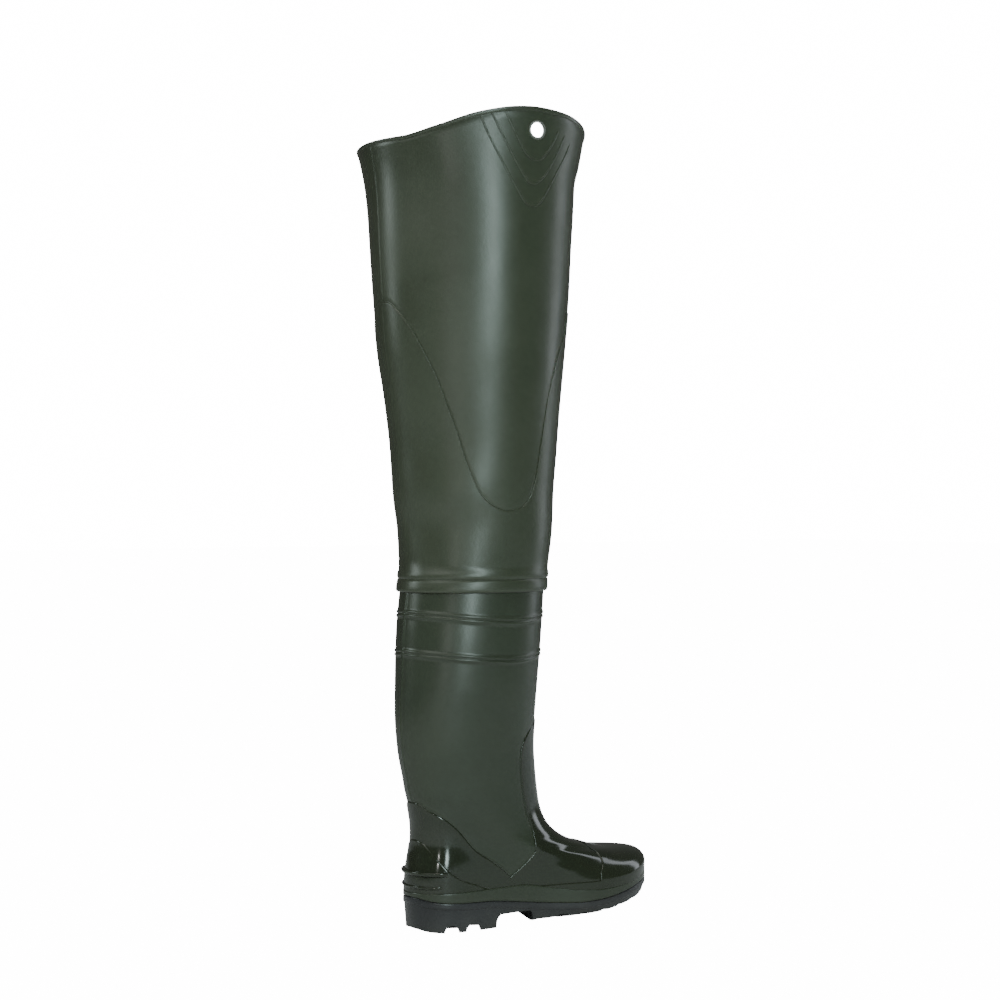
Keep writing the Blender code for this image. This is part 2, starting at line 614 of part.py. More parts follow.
def main():
    for old in list(bpy.data.objects):
        bpy.data.objects.remove(old, do_unlink=True)
    green = material("green_rubber", (0.045, 0.062, 0.042), 0.38)
    leg_green = material("leg_rubber", (0.052, 0.068, 0.050), 0.50)
    black = material("sole_rubber", (0.018, 0.019, 0.024), 0.50)
    grey = material("insole_felt", (0.10, 0.10, 0.10), 0.95)
    upper = new_object("upper", boot_shape(), green)
    for name, (height, last_row, points) in (
        ("counter", COUNTER),
        ("vamp_panel", VAMP_PANEL),
        ("toe_cap", TOE_CAP),
        ("kick_ledge", KICK_LEDGE),
        ("low_ledge", LOW_LEDGE),
    ):
        add_overlay(upper, name, boot_shell(height, last_row), boot_outline(points))
    thigh = new_object("thigh_leg", thigh_shape(), leg_green)
    panel_height, panel_edge = LEG_PANEL
    add_overlay(thigh, "leg_panel", thigh_shell(panel_height), leg_panel_outline(panel_edge))
    boolean(thigh, new_object("eyelet_cutter", eyelet_cutter()), "DIFFERENCE")
    outsole = new_object("outsole", outsole_shape(), black)
    boolean(outsole, new_object("tread_cutter", tread_cutter()), "DIFFERENCE")
    new_object("insole", insole_shape(), grey)


main()
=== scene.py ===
import math

import bpy
import numpy as np
from mathutils import Matrix, Vector


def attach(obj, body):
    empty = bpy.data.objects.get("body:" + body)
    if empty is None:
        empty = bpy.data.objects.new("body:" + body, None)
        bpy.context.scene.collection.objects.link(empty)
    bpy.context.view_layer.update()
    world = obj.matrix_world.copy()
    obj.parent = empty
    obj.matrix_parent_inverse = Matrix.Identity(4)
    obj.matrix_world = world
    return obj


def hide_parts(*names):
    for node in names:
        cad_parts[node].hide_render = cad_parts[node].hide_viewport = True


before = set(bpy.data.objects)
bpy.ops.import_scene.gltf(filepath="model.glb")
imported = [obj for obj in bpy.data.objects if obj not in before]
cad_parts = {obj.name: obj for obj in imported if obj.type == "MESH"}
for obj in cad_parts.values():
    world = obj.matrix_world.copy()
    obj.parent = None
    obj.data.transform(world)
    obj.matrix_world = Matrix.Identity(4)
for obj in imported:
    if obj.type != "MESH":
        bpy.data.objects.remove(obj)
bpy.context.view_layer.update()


# Moulded boot
# The foot, ankle and lower leg are one hollow wall of olive-green rubber, injected round a last, with the
# rand, the two pairs of ribs and the ridge down its back standing out of the wall.
SOLE_LENGTH = 0.307
HEEL_OVERHANG = 0.040
HEEL_WIDTH = 0.078
BALL_WIDTH = 0.110
HEEL_HEIGHT = 0.030
INSTEP_HEIGHT = 0.100
BOOT_HEIGHT = 0.368
LEG_CENTRE = 0.035
SHAFT_DEPTH = 0.160
SHAFT_WIDTH = 0.122
BOOT_WALL = 0.0023
FIT = 0.0003
# Heights of the sole's three lines along the boot, as shares of HEEL_HEIGHT
SOLE_HEIGHTS = np.array((
    # along, part, rand, tread
    (0.00, 1.20, 1.36, 0.17),
    (0.04, 1.08, 1.36, 0.04),
    (0.10, 1.00, 1.36, 0.00),
    (0.24, 0.95, 1.38, 0.00),
    (0.37, 0.78, 1.37, 0.00),
    (0.50, 0.61, 1.15, 0.00),
    (0.60, 0.54, 1.00, 0.00),
    (0.70, 0.60, 0.95, 0.05),
    (0.80, 0.73, 0.98, 0.17),
    (0.90, 0.90, 1.14, 0.32),
    (1.00, 1.05, 1.36, 0.52),
))
# Slanted sections of the foot: ends as shares of SOLE_LENGTH, rises of INSTEP_HEIGHT, widths of FOOT_SIZES
FOOT_SECTIONS = (
    # back, front, back_rise, front_rise, heel_end, heel, waist, ball, toe_end, dip, swing
    (0.008, 0.992, 0.00, 0.00, 0.91, 0.625, 0.306, 0.498, 0.68, 1.00, 1.0),
    (0.009, 0.993, 0.09, 0.085, 0.90, 0.615, 0.314, 0.503, 0.68, 1.00, 1.0),
    (0.012, 0.975, 0.19, 0.160, 0.885, 0.61, 0.325, 0.477, 0.645, 0.85, 1.0),
    (0.018, 0.930, 0.30, 0.205, 0.86, 0.60, 0.332, 0.423, 0.565, 0.60, 0.9),
    (0.025, 0.868, 0.41, 0.230, 0.82, 0.585, 0.341, 0.386, 0.46, 0.38, 0.75),
    (0.028, 0.795, 0.51, 0.243, 0.78, 0.57, 0.350, 0.360, 0.39, 0.20, 0.6),
    (0.028, 0.738, 0.60, 0.282, 0.745, 0.56, 0.360, 0.350, 0.365, 0.08, 0.45),
    (0.026, 0.660, 0.69, 0.352, 0.705, 0.55, 0.368, 0.350, 0.360, 0.00, 0.3),
    (0.021, 0.594, 0.78, 0.460, 0.665, 0.55, 0.377, 0.360, 0.360, 0.00, 0.2),
    (0.014, 0.549, 0.89, 0.59, 0.64, 0.55, 0.386, 0.373, 0.369, 0.00, 0.1),
    (0.002, 0.521, 1.02, 0.75, 0.62, 0.555, 0.395, 0.386, 0.380, 0.00, 0.0),
    (-0.007, 0.506, 1.16, 0.97, 0.615, 0.57, 0.405, 0.400, 0.395, 0.00, 0.0),
)
# Level sections of the shaft, as shares of half its depth and half its width
SHAFT_SECTIONS = (
    # rise, back, front, width_back, width_side, width_front
    (0.20, -1.035, 0.940, 0.82, 0.80, 0.79),
    (0.34, -1.060, 0.960, 0.88, 0.87, 0.86),
    (0.50, -1.045, 0.985, 0.95, 0.95, 0.94),
    (0.72, -1.02, 1.03, 0.985, 1.00, 1.00),
    (1.00, -0.93, 1.08, 0.99, 1.01, 1.01),
)
# The five places along a section that its widths belong to, and the sole's own widths there
WIDTH_STATIONS = (0.00, 0.17, 0.42, 0.70, 1.00)
SOLE_OUTLINE = (0.942, 0.662, 0.325, 0.520, 0.700)
# How far the foot's middle line bends to the inner side
SWING = np.array((
    # along, share of BALL_WIDTH
    (0.00, 0.000),
    (0.17, 0.000),
    (0.42, -0.030),
    (0.62, -0.023),
    (0.70, -0.010),
    (0.80, 0.018),
    (0.90, 0.050),
    (1.00, 0.090),
))
FOOT_SIZES = np.array((HEEL_WIDTH, HEEL_WIDTH, BALL_WIDTH, BALL_WIDTH, BALL_WIDTH))


def smooth(places, values, at):
    """Read a curve through the values that doesn't overshoot them. The values may have columns."""
    places = np.asarray(places, float)
    values = np.asarray(values, float)
    flat = values.reshape(len(places), -1)
    step = np.diff(places)[:, None]
    slope = np.diff(flat, axis=0) / step
    tangent = np.empty_like(flat)
    tangent[0] = slope[0]
    tangent[-1] = slope[-1]
    same = slope[:-1] * slope[1:] > 0.0
    total = np.where(same, slope[:-1] + slope[1:], 1.0)
    tangent[1:-1] = np.where(same, 2.0 * slope[:-1] * slope[1:] / total, 0.0)
    at = np.asarray(at, float)
    spot = np.clip(at.ravel(), places[0], places[-1])
    low = np.clip(np.searchsorted(places, spot) - 1, 0, len(places) - 2)
    width = step[low]
    share = (spot - places[low])[:, None] / width
    result = (
        flat[low] * (1.0 + 2.0 * share) * (1.0 - share) ** 2
        + tangent[low] * width * share * (1.0 - share) ** 2
        + flat[low + 1] * share**2 * (3.0 - 2.0 * share)
        - tangent[low + 1] * width * share**2 * (1.0 - share)
    )
    return result.reshape(at.shape + values.shape[1:])


def sole_height(edge, along):
    """Height of the sole's part, rand or tread line at a share of its length."""
    number = {"part": 1, "rand": 2, "tread": 3}[edge]
    return HEEL_HEIGHT * smooth(SOLE_HEIGHTS[:, 0], SOLE_HEIGHTS[:, number], along)


RAND_LEVEL = float(sole_height("rand", 0.0))
INSTEP_LEVEL = RAND_LEVEL + INSTEP_HEIGHT
boot_rows = []
for back, front, back_rise, front_rise, *widths, dip, swing in FOOT_SECTIONS:
    ends = [share * SOLE_LENGTH - HEEL_OVERHANG for share in (back, front)]
    heights = [RAND_LEVEL + share * INSTEP_HEIGHT for share in (back_rise, front_rise)]
    boot_rows.append([*ends, *heights, *(np.array(widths) * FOOT_SIZES), dip, swing])
for rise, back, front, width_back, width_side, width_front in SHAFT_SECTIONS:
    ends = [LEG_CENTRE + share * SHAFT_DEPTH / 2.0 for share in (back, front)]
    height = INSTEP_LEVEL + rise * (BOOT_HEIGHT - INSTEP_LEVEL)
    widths = (width_back, (width_back + width_side) / 2.0, width_side,
              (width_side + width_front) / 2.0, width_front)
    boot_rows.append([*ends, height, height, *(np.array(widths) * SHAFT_WIDTH / 2.0), 0.0, 0.0])
boot_rows = np.array(boot_rows)


def boot_ring(row, turns):
    """Points of the boot's outer face round one section, from the back over the outer side."""
    back, front, back_height, front_height, *widths, dip, swing = smooth(
        range(len(boot_rows)), boot_rows, row)
    share = (1.0 - np.cos(turns)) / 2.0
    x = back + (front - back) * share
    along = (x + HEEL_OVERHANG) / SOLE_LENGTH
    middle = swing * BALL_WIDTH * smooth(SWING[:, 0], SWING[:, 1], share)
    y = middle - smooth(WIDTH_STATIONS, widths, share) * np.sin(turns)
    dipped = dip * (sole_height("rand", along) - RAND_LEVEL)
    z = back_height + (front_height - back_height) * share + dipped
    return np.stack([x, y, z], axis=1)


# How many turns a face's table holds, and how many levels the boot's and its shaft's tables hold
FACE_TURNS = 721
BOOT_LEVELS = 561
SHAFT_LEVELS = 300


def face_table(ring, levels):
    """The points and outward normals of a face, by level and by turn, for pieces that lie on it."""
    turns = np.linspace(0.0, 2.0 * math.pi, FACE_TURNS)
    points = np.array([ring(level, turns) for level in levels])
    wrapped = np.concatenate([points[:, -2:-1], points, points[:, 1:2]], axis=1)
    round_it = wrapped[:, 2:] - wrapped[:, :-2]
    up_it = np.gradient(points, levels, axis=0)
    normals = np.cross(round_it, up_it)
    normals /= np.linalg.norm(normals, axis=2)[:, :, None]
    return np.asarray(levels), turns, points, normals


def on_face(table, level, turn, out=0.0):
    """Points on a face at its levels and turns, lifted off it by out."""
    levels, turns, points, normals = table
    level, turn, out = np.broadcast_arrays(level, turn, out)
    up = np.interp(level, levels, np.arange(len(levels)))
    low = np.clip(up.astype(int), 0, len(levels) - 2)
    up = (up - low)[..., None]
    place = np.mod(turn, 2.0 * math.pi) / (2.0 * math.pi) * (len(turns) - 1)
    left = np.clip(place.astype(int), 0, len(turns) - 2)
    place = (place - left)[..., None]

    def read(values):
        """Values between the four nearest entries of the table."""
        near = values[low, left] * (1.0 - place) + values[low, left + 1] * place
        far = values[low + 1, left] * (1.0 - place) + values[low + 1, left + 1] * place
        return near * (1.0 - up) + far * up

    return read(points) + read(normals) * out[..., None]


boot_face = face_table(boot_ring, np.linspace(0.0, len(boot_rows) - 1.0, BOOT_LEVELS))
shaft_levels = np.linspace(len(FOOT_SECTIONS), len(boot_rows) - 1.0, SHAFT_LEVELS)
shaft_heights = smooth(range(len(boot_rows)), boot_rows[:, 2], shaft_levels)


def row_at(height):
    """Row of the boot's sections at a height on the shaft."""
    return np.interp(height, shaft_heights, shaft_levels)


def sole_edge(turns, inset, edge, lift=0.0):
    """Points along the sole's outline, moved inwards, at the height of its part, rand or tread line."""
    share = (1.0 - np.cos(turns)) / 2.0
    middle = BALL_WIDTH * smooth(SWING[:, 0], SWING[:, 1], share)
    full = smooth(WIDTH_STATIONS, np.array(SOLE_OUTLINE) * FOOT_SIZES, share)
    middle_x = SOLE_LENGTH / 2.0 - HEEL_OVERHANG
    x = SOLE_LENGTH * share - HEEL_OVERHANG
    x = middle_x + (x - middle_x) * (1.0 - 2.0 * inset / SOLE_LENGTH)
    y = middle - full * np.sin(turns) * (1.0 - 2.0 * inset / BALL_WIDTH)
    along = (x + HEEL_OVERHANG) / SOLE_LENGTH
    return np.stack([x, y, sole_height(edge, along) + lift], axis=1)


def pick_only(piece):
    """Deselect everything, then select one piece and make it the active one."""
    bpy.ops.object.select_all(action="DESELECT")
    piece.select_set(True)
    bpy.context.view_layer.objects.active = piece


def start_from(primitive, **sizes):
    """Deselect everything, add a primitive and return it."""
    bpy.ops.object.select_all(action="DESELECT")
    primitive(**sizes)
    return bpy.context.object


def recalculate_outward(piece):
    """Turn all faces of a closed piece outwards."""
    pick_only(piece)
    bpy.ops.object.mode_set(mode="EDIT")
    bpy.ops.mesh.select_all(action="SELECT")
    bpy.ops.mesh.normals_make_consistent(inside=False)
    bpy.ops.object.mode_set(mode="OBJECT")


def moulded_sheet(name, points, thickness=0.0):
    """Add a flat grid, lay it on rows of points and join the edges that meet. An open sheet gets its
    thickness then, and a closed one has its faces turned outwards."""
    rows, columns = points.shape[:2]
    piece = start_from(bpy.ops.mesh.primitive_grid_add, size=1.0,
                       x_subdivisions=columns - 1, y_subdivisions=rows - 1)
    piece.name = name
    piece.data.name = name
    flat = np.zeros(len(piece.data.vertices) * 3)
    piece.data.vertices.foreach_get("co", flat)
    flat = flat.reshape(-1, 3)
    order = np.lexsort((np.round(flat[:, 0], 5), np.round(flat[:, 1], 5)))
    laid = np.empty_like(flat)
    laid[order] = points.reshape(-1, 3)
    piece.data.vertices.foreach_set("co", laid.ravel())
    piece.data.update()
    bpy.ops.object.mode_set(mode="EDIT")
    bpy.ops.mesh.select_all(action="SELECT")
    bpy.ops.mesh.remove_doubles(threshold=0.000002)
    bpy.ops.mesh.dissolve_degenerate(threshold=0.000001)
    bpy.ops.object.mode_set(mode="OBJECT")
    if thickness:
        wall = piece.modifiers.new("wall", "SOLIDIFY")
        wall.thickness = thickness
        wall.offset = -1.0
        bpy.ops.object.modifier_apply(modifier="wall")
    else:
        recalculate_outward(piece)
    return piece


def finish_piece(piece, material, replaces=(), sharp=50.0):
    """Shade a piece smooth up to an edge angle, give it its material and tie it to the frame."""
    pick_only(piece)
    bpy.ops.object.shade_smooth_by_angle(angle=math.radians(sharp))
    piece.data.materials.clear()
    piece.data.materials.append(material)
    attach(piece, "root")
    if replaces:
        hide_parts(*replaces)


def set_sockets(tree, node, sockets):
    """Give each named socket of a node its value, or link another node's output to it."""
    for label, value in sockets.items():
        if isinstance(value, bpy.types.NodeSocket):
            tree.links.new(value, node.inputs[label])
        else:
            node.inputs[label].default_value = value
    return node


def add_node(tree, kind, sockets, **settings):
    """Add a node with its settings and its sockets' values and links."""
    node = tree.nodes.new(kind)
    for name, value in settings.items():
        setattr(node, name, value)
    return set_sockets(tree, node, sockets)


def rubber_surface_group():
    """Varying finish of moulded rubber: cloudy patches, a fine grain and floor dust."""
    group = bpy.data.node_groups.new("rubber_surface", "ShaderNodeTree")
    for label in ("Cloud Scale", "Grain Scale", "Dust Height"):
        group.interface.new_socket(label, in_out="INPUT", socket_type="NodeSocketFloat")
    for label in ("Cloud", "Grain", "Dust"):
        group.interface.new_socket(label, in_out="OUTPUT", socket_type="NodeSocketFloat")
    source = group.nodes.new("NodeGroupInput")
    place = group.nodes.new("ShaderNodeTexCoord").outputs["Object"]
    cloud = add_node(group, "ShaderNodeTexNoise", {
        "Vector": place, "Scale": source.outputs["Cloud Scale"], "Detail": 3.0, "Roughness": 0.55})
    grain = add_node(group, "ShaderNodeTexNoise", {
        "Vector": place, "Scale": source.outputs["Grain Scale"], "Detail": 2.0, "Roughness": 0.6})
    upright = add_node(group, "ShaderNodeMapping", {"Vector": place, "Scale": (1.0, 1.0, 0.5)})
    smear = add_node(group, "ShaderNodeTexNoise", {
        "Vector": upright.outputs["Vector"], "Scale": 38.0, "Detail": 3.0, "Roughness": 0.5})
    height = add_node(group, "ShaderNodeSeparateXYZ", {"Vector": place}).outputs["Z"]
    low = add_node(group, "ShaderNodeMath", {0: height, 1: source.outputs["Dust Height"]}, operation="DIVIDE")
    fade = add_node(group, "ShaderNodeMapRange", {
        "Value": low.outputs["Value"], "From Min": 1.0, "From Max": 0.0})
    dust = add_node(group, "ShaderNodeMath", {0: fade.outputs["Result"], 1: smear.outputs["Fac"]},
                    operation="MULTIPLY")
    add_node(group, "NodeGroupOutput", {
        "Cloud": cloud.outputs["Fac"], "Grain": grain.outputs["Fac"], "Dust": dust.outputs["Value"]})
    return group


rubber_surface = rubber_surface_group()
DUST_HEIGHT = 0.035
DUST_COLOUR = (0.16, 0.15, 0.13, 1.0)
CLOUD_SCALE = 11.0
RUBBER_IOR = 1.52


def rubber(name, dark, light, roughness, spread, grain=0.00004, grain_scale=900.0, dust=0.12):
    """A moulded rubber: two shades of its colour in soft clouds, a fine grain and an uneven gloss."""
    made = bpy.data.materials.new(name)
    made.use_nodes = True
    tree = made.node_tree
    surface = add_node(tree, "ShaderNodeGroup", {
        "Cloud Scale": CLOUD_SCALE, "Grain Scale": grain_scale, "Dust Height": DUST_HEIGHT,
    }, node_tree=rubber_surface)
    cloud = surface.outputs["Cloud"]
    shade = add_node(tree, "ShaderNodeMix", {0: cloud, 6: (*dark, 1.0), 7: (*light, 1.0)}, data_type="RGBA")
    amount = add_node(tree, "ShaderNodeMath", {0: surface.outputs["Dust"], 1: dust}, operation="MULTIPLY")
    dusty = add_node(tree, "ShaderNodeMix", {
        0: amount.outputs["Value"], 6: shade.outputs[2], 7: DUST_COLOUR}, data_type="RGBA")
    gloss = add_node(tree, "ShaderNodeMapRange", {
        "Value": cloud, "From Min": 0.3, "From Max": 0.7,
        "To Min": roughness - spread, "To Max": roughness + spread})
    bump = add_node(tree, "ShaderNodeBump", {
        "Height": surface.outputs["Grain"], "Strength": 1.0, "Distance": grain})
    set_sockets(tree, tree.nodes["Principled BSDF"], {
        "Base Color": dusty.outputs[2], "Roughness": gloss.outputs["Result"], "IOR": RUBBER_IOR,
        "Normal": bump.outputs["Normal"]})
    return made


boot_green = rubber("boot_green", (0.020, 0.027, 0.016), (0.033, 0.042, 0.025), 0.32, 0.03, grain=0.00003)
foot_green = rubber("foot_green", (0.013, 0.017, 0.010), (0.023, 0.028, 0.015), 0.13, 0.03, grain=0.00001)

RIB_HEIGHTS = (0.2832, 0.2872, 0.3230, 0.3270)
RIB_HALF = 0.0012
RIB_OUT = 0.0010
# How far the ribs dip, in metres, at each turn from the back, in degrees
RIB_DIP = ((0.0, 0.0), (40.0, 0.0026), (75.0, 0.0066), (105.0, 0.0090), (146.0, 0.0045), (180.0, 0.0030))
# How far the ridge down the back stands out, in metres, at each turn from the back, in degrees
RIDGE_PROFILE = ((0.0, 0.0008), (0.9, 0.0008), (1.5, 0.0006), (2.0, 0.0003), (2.6, 0.0))
# Heights between which the ribs dip and the ridge stands out: begin, run in, end, run out
DIP_SPAN = (0.235, 0.035, 0.345, 0.018)
RIDGE_SPAN = (0.120, 0.020, 0.347, 0.003)
COLUMNS = 180
RAND_ROUNDING = 0.0012
FOOT_ROW_STEP = 0.1
SHAFT_START = 0.189
SHAFT_END = 0.3465
SHAFT_STEP = 0.003
INNER_STEP = 0.008
UNDER_CUFF_STEPS = (0.350, 0.356, 0.362, 0.3675)


def columns_round(near_back, clear):
    """Turns round a section, evenly spaced. Within clear degrees of the middle of its back, closer ones
    stand in their place, given in degrees."""
    even = np.linspace(0.0, 2.0 * math.pi, COLUMNS + 1)
    kept = [turn for turn in even if min(turn, 2.0 * math.pi - turn) > math.radians(clear)]
    near = np.radians(near_back)
    return np.unique(np.concatenate([kept, near, 2.0 * math.pi - near]))


def from_back(turns):
    """Degrees from the middle of the back, either way round."""
    return np.degrees(np.minimum(turns, 2.0 * math.pi - turns))


def fade_over(span, height):
    """Share that rises from 0 at a span's begin to 1 over its run in, and falls to 0 at its end."""
    begin, begin_run, end, end_run = span
    return np.clip((height - begin) / begin_run, 0.0, 1.0) * np.clip((end - height) / end_run, 0.0, 1.0)


def ridge_out(turns, height):
    """How far the ridge down the back stands out of the wall."""
    return np.interp(from_back(turns), *zip(*RIDGE_PROFILE)) * fade_over(RIDGE_SPAN, height)


boot_turns = columns_round([degree for degree, out in RIDGE_PROFILE] + [1.2, 1.75, 2.3], 3.0)
dip = smooth(*zip(*RIB_DIP), from_back(boot_turns))
sections = []
for inset, lift in ((0.0006, FIT), (0.0001, FIT + 0.0004)):
    sections.append(sole_edge(boot_turns, inset, "part", lift))
low_edge = sole_edge(boot_turns, 0.0, "part", FIT)
high_edge = sole_edge(boot_turns, 0.0, "rand")
for share in np.linspace(0.12, 0.80, 5):
    sections.append(low_edge + (high_edge - low_edge) * share)
for angle in np.radians((0.0, 25.0, 50.0, 75.0, 90.0)):
    inset = RAND_ROUNDING * (1.0 - math.cos(angle))
    sections.append(sole_edge(boot_turns, inset, "rand", -RAND_ROUNDING * (1.0 - math.sin(angle))))
for row in np.arange(0.0, len(FOOT_SECTIONS), FOOT_ROW_STEP):
    height = on_face(boot_face, row, boot_turns)[:, 2]
    sections.append(on_face(boot_face, row, boot_turns, ridge_out(boot_turns, height)))
shaft_steps = [step for step in np.arange(SHAFT_START, SHAFT_END, SHAFT_STEP)
               if min(abs(step - rib) for rib in RIB_HEIGHTS) > 2.0 * RIB_HALF]
for rib in RIB_HEIGHTS:
    shaft_steps += [rib + RIB_HALF * share for share in (-1.4, -0.9, -0.5, 0.0, 0.5, 0.9, 1.4)]
shaft_steps += UNDER_CUFF_STEPS
for height in sorted(shaft_steps):
    nearest = min(abs(height - rib) for rib in RIB_HEIGHTS)
    rib_out = RIB_OUT * math.sqrt(max(0.0, 1.0 - (nearest / (1.25 * RIB_HALF)) ** 2))
    lowered = height - dip * fade_over(DIP_SPAN, height)
    out = np.maximum(rib_out, ridge_out(boot_turns, height))
    sections.append(on_face(boot_face, row_at(lowered), boot_turns, out))
for share in (0.25, 0.5, 0.75):
    sections.append(on_face(boot_face, len(boot_rows) - 1.0, boot_turns, -BOOT_WALL * share))
for height in np.arange(0.366, SHAFT_START, -INNER_STEP):
    sections.append(on_face(boot_face, row_at(height), boot_turns, -BOOT_WALL))
for row in np.arange(len(FOOT_SECTIONS) - 0.5, -0.1, -0.5):
    sections.append(on_face(boot_face, row, boot_turns, -BOOT_WALL))
inner_foot = sections[-1].copy()
inner_foot[:, 2] = sole_edge(boot_turns, 0.004, "part", FIT)[:, 2]
sections.append(inner_foot)
sections.append(sections[0])
boot = moulded_sheet("boot", np.array(sections))
finish_piece(boot, boot_green, ("upper",))


# Heel counter, vamp panel and toe cap
# Thicker fields of the same rubber, moulded on the outside of the boot where the foot wears it. Each
# lies on the wall and ends in a small rounded step.
FIELD_SINK = 0.0005
COUNTER_SHEET = 0.0012
VAMP_SHEET = 0.0010
# Rows and columns of a back field's grid, and how finely a field's edge is sought on the boot's face
BACK_ROWS = 34
BACK_COLUMNS = 151
SEARCH_ROWS = 601
SEARCH_TURNS = 581
SEARCH_STEP = 0.004
# Half the width of a front field's topmost row, in radians
TIP_HALF = 0.0005


def z_of_x(edge, x):
    """Height at x of an edge that is drawn from the side as x, z points."""
    edge = np.array(edge)
    order = np.argsort(edge[:, 0])
    return smooth(edge[order, 0], edge[order, 1], x)


def step_height(points, border, height, rounding):
    """How far a raised field stands out at each point, rising in a rounded step from its border."""
    closest = np.full(points.shape[:2], 1e9)
    for start, end in zip(border[:-1], border[1:]):
        run = end - start
        length = max(float(run @ run), 1e-12)
        share = np.clip(((points - start) @ run) / length, 0.0, 1.0)
        away = np.linalg.norm(points - start - share[..., None] * run, axis=2)
        closest = np.minimum(closest, away)
    rise = np.clip(closest / rounding, 0.0, 1.0)
    return -FIELD_SINK + (height + FIELD_SINK) * np.sqrt(1.0 - (1.0 - rise) ** 2)


# Shares of the way across a field at which columns lie close together, so that its edge is crisp
NEAR_EDGE = np.array((1.0, 0.997, 0.992, 0.985, 0.975, 0.96, 0.94, 0.91, 0.87))


def back_field(name, edge, height, rounding):
    """A raised field round the heel, from the rand up to an edge seen from the side as x, z points."""
    rows = np.linspace(0.0, len(FOOT_SECTIONS), SEARCH_ROWS)

    def top_row(turn):
        points = on_face(boot_face, rows, turn)
        above = points[:, 2] - z_of_x(edge, points[:, 0])
        first = int(np.argmax(above > 0.0))
        if first == 0:
            return 0.0
        return float(np.interp(0.0, above[first - 1: first + 1], rows[first - 1: first + 1]))

    reach = [turn for turn in np.radians(np.arange(1.0, 120.0, 0.25)) if top_row(turn) > 0.02]
    last = max(reach)
    shares = np.sin(np.linspace(-1.0, 1.0, BACK_COLUMNS) * math.pi / 2.0)
    turns = shares * last
    tops = np.array([top_row(abs(turn)) for turn in turns])
    steps = np.unique(np.concatenate([np.linspace(0.0, 0.84, BACK_ROWS), NEAR_EDGE]))
    grid_rows = steps[:, None] * tops[None, :]
    grid_turns = np.broadcast_to(turns[None, :], grid_rows.shape)
    points = on_face(boot_face, grid_rows, grid_turns)
    border = on_face(boot_face, tops, turns)
    out = step_height(points, border, height, rounding)
    piece = moulded_sheet(name, on_face(boot_face, grid_rows, grid_turns, out), COUNTER_SHEET)
    finish_piece(piece, foot_green)


# Upper edges of the counter and of the patch on it, seen from the side as x, z points
COUNTER_EDGE = ((-0.060, 0.1345), (-0.0355, 0.132), (-0.0303, 0.1265), (-0.0120, 0.114), (0.0038, 0.0996),
                (0.0162, 0.0840), (0.0358, 0.0708), (0.0541, 0.0577), (0.0660, 0.0450), (0.075, 0.030))
HEEL_PATCH_EDGE = ((-0.060, 0.0975), (-0.0345, 0.0960), (-0.0303, 0.0925), (-0.0218, 0.0765),
                   (-0.0118, 0.0636), (0.0020, 0.0536), (0.0258, 0.0451), (0.045, 0.038))
back_field("heel_counter", COUNTER_EDGE, height=0.0012, rounding=0.0016)
back_field("heel_patch", HEEL_PATCH_EDGE, height=0.0021, rounding=0.0014)


def front_field(name, edge, height, rounding, columns, low_turn):
    """A raised field over the foot's front, ahead of an edge given as its x at each height."""
    edge = np.array(edge)
    turns = np.radians(np.linspace(low_turn, 180.0, SEARCH_TURNS))

    def start_turn(row):
        points = on_face(boot_face, row, turns)
        ahead = points[:, 0] - smooth(edge[:, 0], edge[:, 1], points[:, 2])
        if ahead[-1] <= 0.0:
            return None
        behind = np.nonzero(ahead <= 0.0)[0]
        if len(behind) == 0:
            return float(turns[0])
        last = int(behind[-1])
        return float(np.interp(0.0, ahead[last: last + 2], turns[last: last + 2]))

    sought = np.arange(0.0, len(boot_rows) - 1.0, SEARCH_STEP)
    top = max(row for row in sought if start_turn(row) is not None)
    climb = np.unique(np.concatenate([np.linspace(0.0, 0.86, 90),
                                      1.0 - 0.14 * np.linspace(1.0, 0.0, 45) ** 2]))
    rows = top * climb
    starts = np.array([start_turn(row) for row in rows])
    starts[-1] = math.pi - TIP_HALF
    across = np.linspace(-1.0, 1.0, columns)
    across = np.unique(np.concatenate([across * 0.93, NEAR_EDGE, -NEAR_EDGE]))
    grid_turns = math.pi + (math.pi - starts)[:, None] * across[None, :]
    grid_rows = np.broadcast_to(rows[:, None], grid_turns.shape)
    points = on_face(boot_face, grid_rows, grid_turns)
    border = np.concatenate([points[:, 0], points[::-1, -1]])
    out = step_height(points, border, height, rounding)
    piece = moulded_sheet(name, on_face(boot_face, grid_rows, grid_turns, out), VAMP_SHEET)
    finish_piece(piece, foot_green)


# x of the vamp panel's and the toe cap's back edge at each height
VAMP_EDGE = ((0.030, 0.035), (0.0385, 0.045), (0.0445, 0.0523), (0.062, 0.0774), (0.070, 0.0870),
             (0.076, 0.0905), (0.0935, 0.0905), (0.114, 0.0825), (0.1395, 0.0757), (0.173, 0.0712),
             (0.184, 0.0724), (0.192, 0.0770), (0.2005, 0.0873), (0.2065, 0.0980), (0.2115, 0.1090),
             (0.2150, 0.125))
TOE_EDGE = ((0.024, 0.1655), (0.029, 0.1667), (0.044, 0.1684), (0.051, 0.1735), (0.058, 0.1765),
            (0.065, 0.1750), (0.070, 0.1757), (0.080, 0.1760))
front_field("vamp_panel", VAMP_EDGE, height=0.0011, rounding=0.0016, columns=121, low_turn=35.0)
front_field("toe_cap", TOE_EDGE, height=0.0022, rounding=0.0012, columns=141, low_turn=70.0)


# Outsole
# Black rubber, moulded under the boot: a heel block with two round notches a side, a raised arch, and
# a forefoot with slanted lugs. A small lip runs round it under the rand.
EDGE_DRAFT = 0.003
LIP_HEIGHT = 0.0062
LIP_OUT = 0.0011
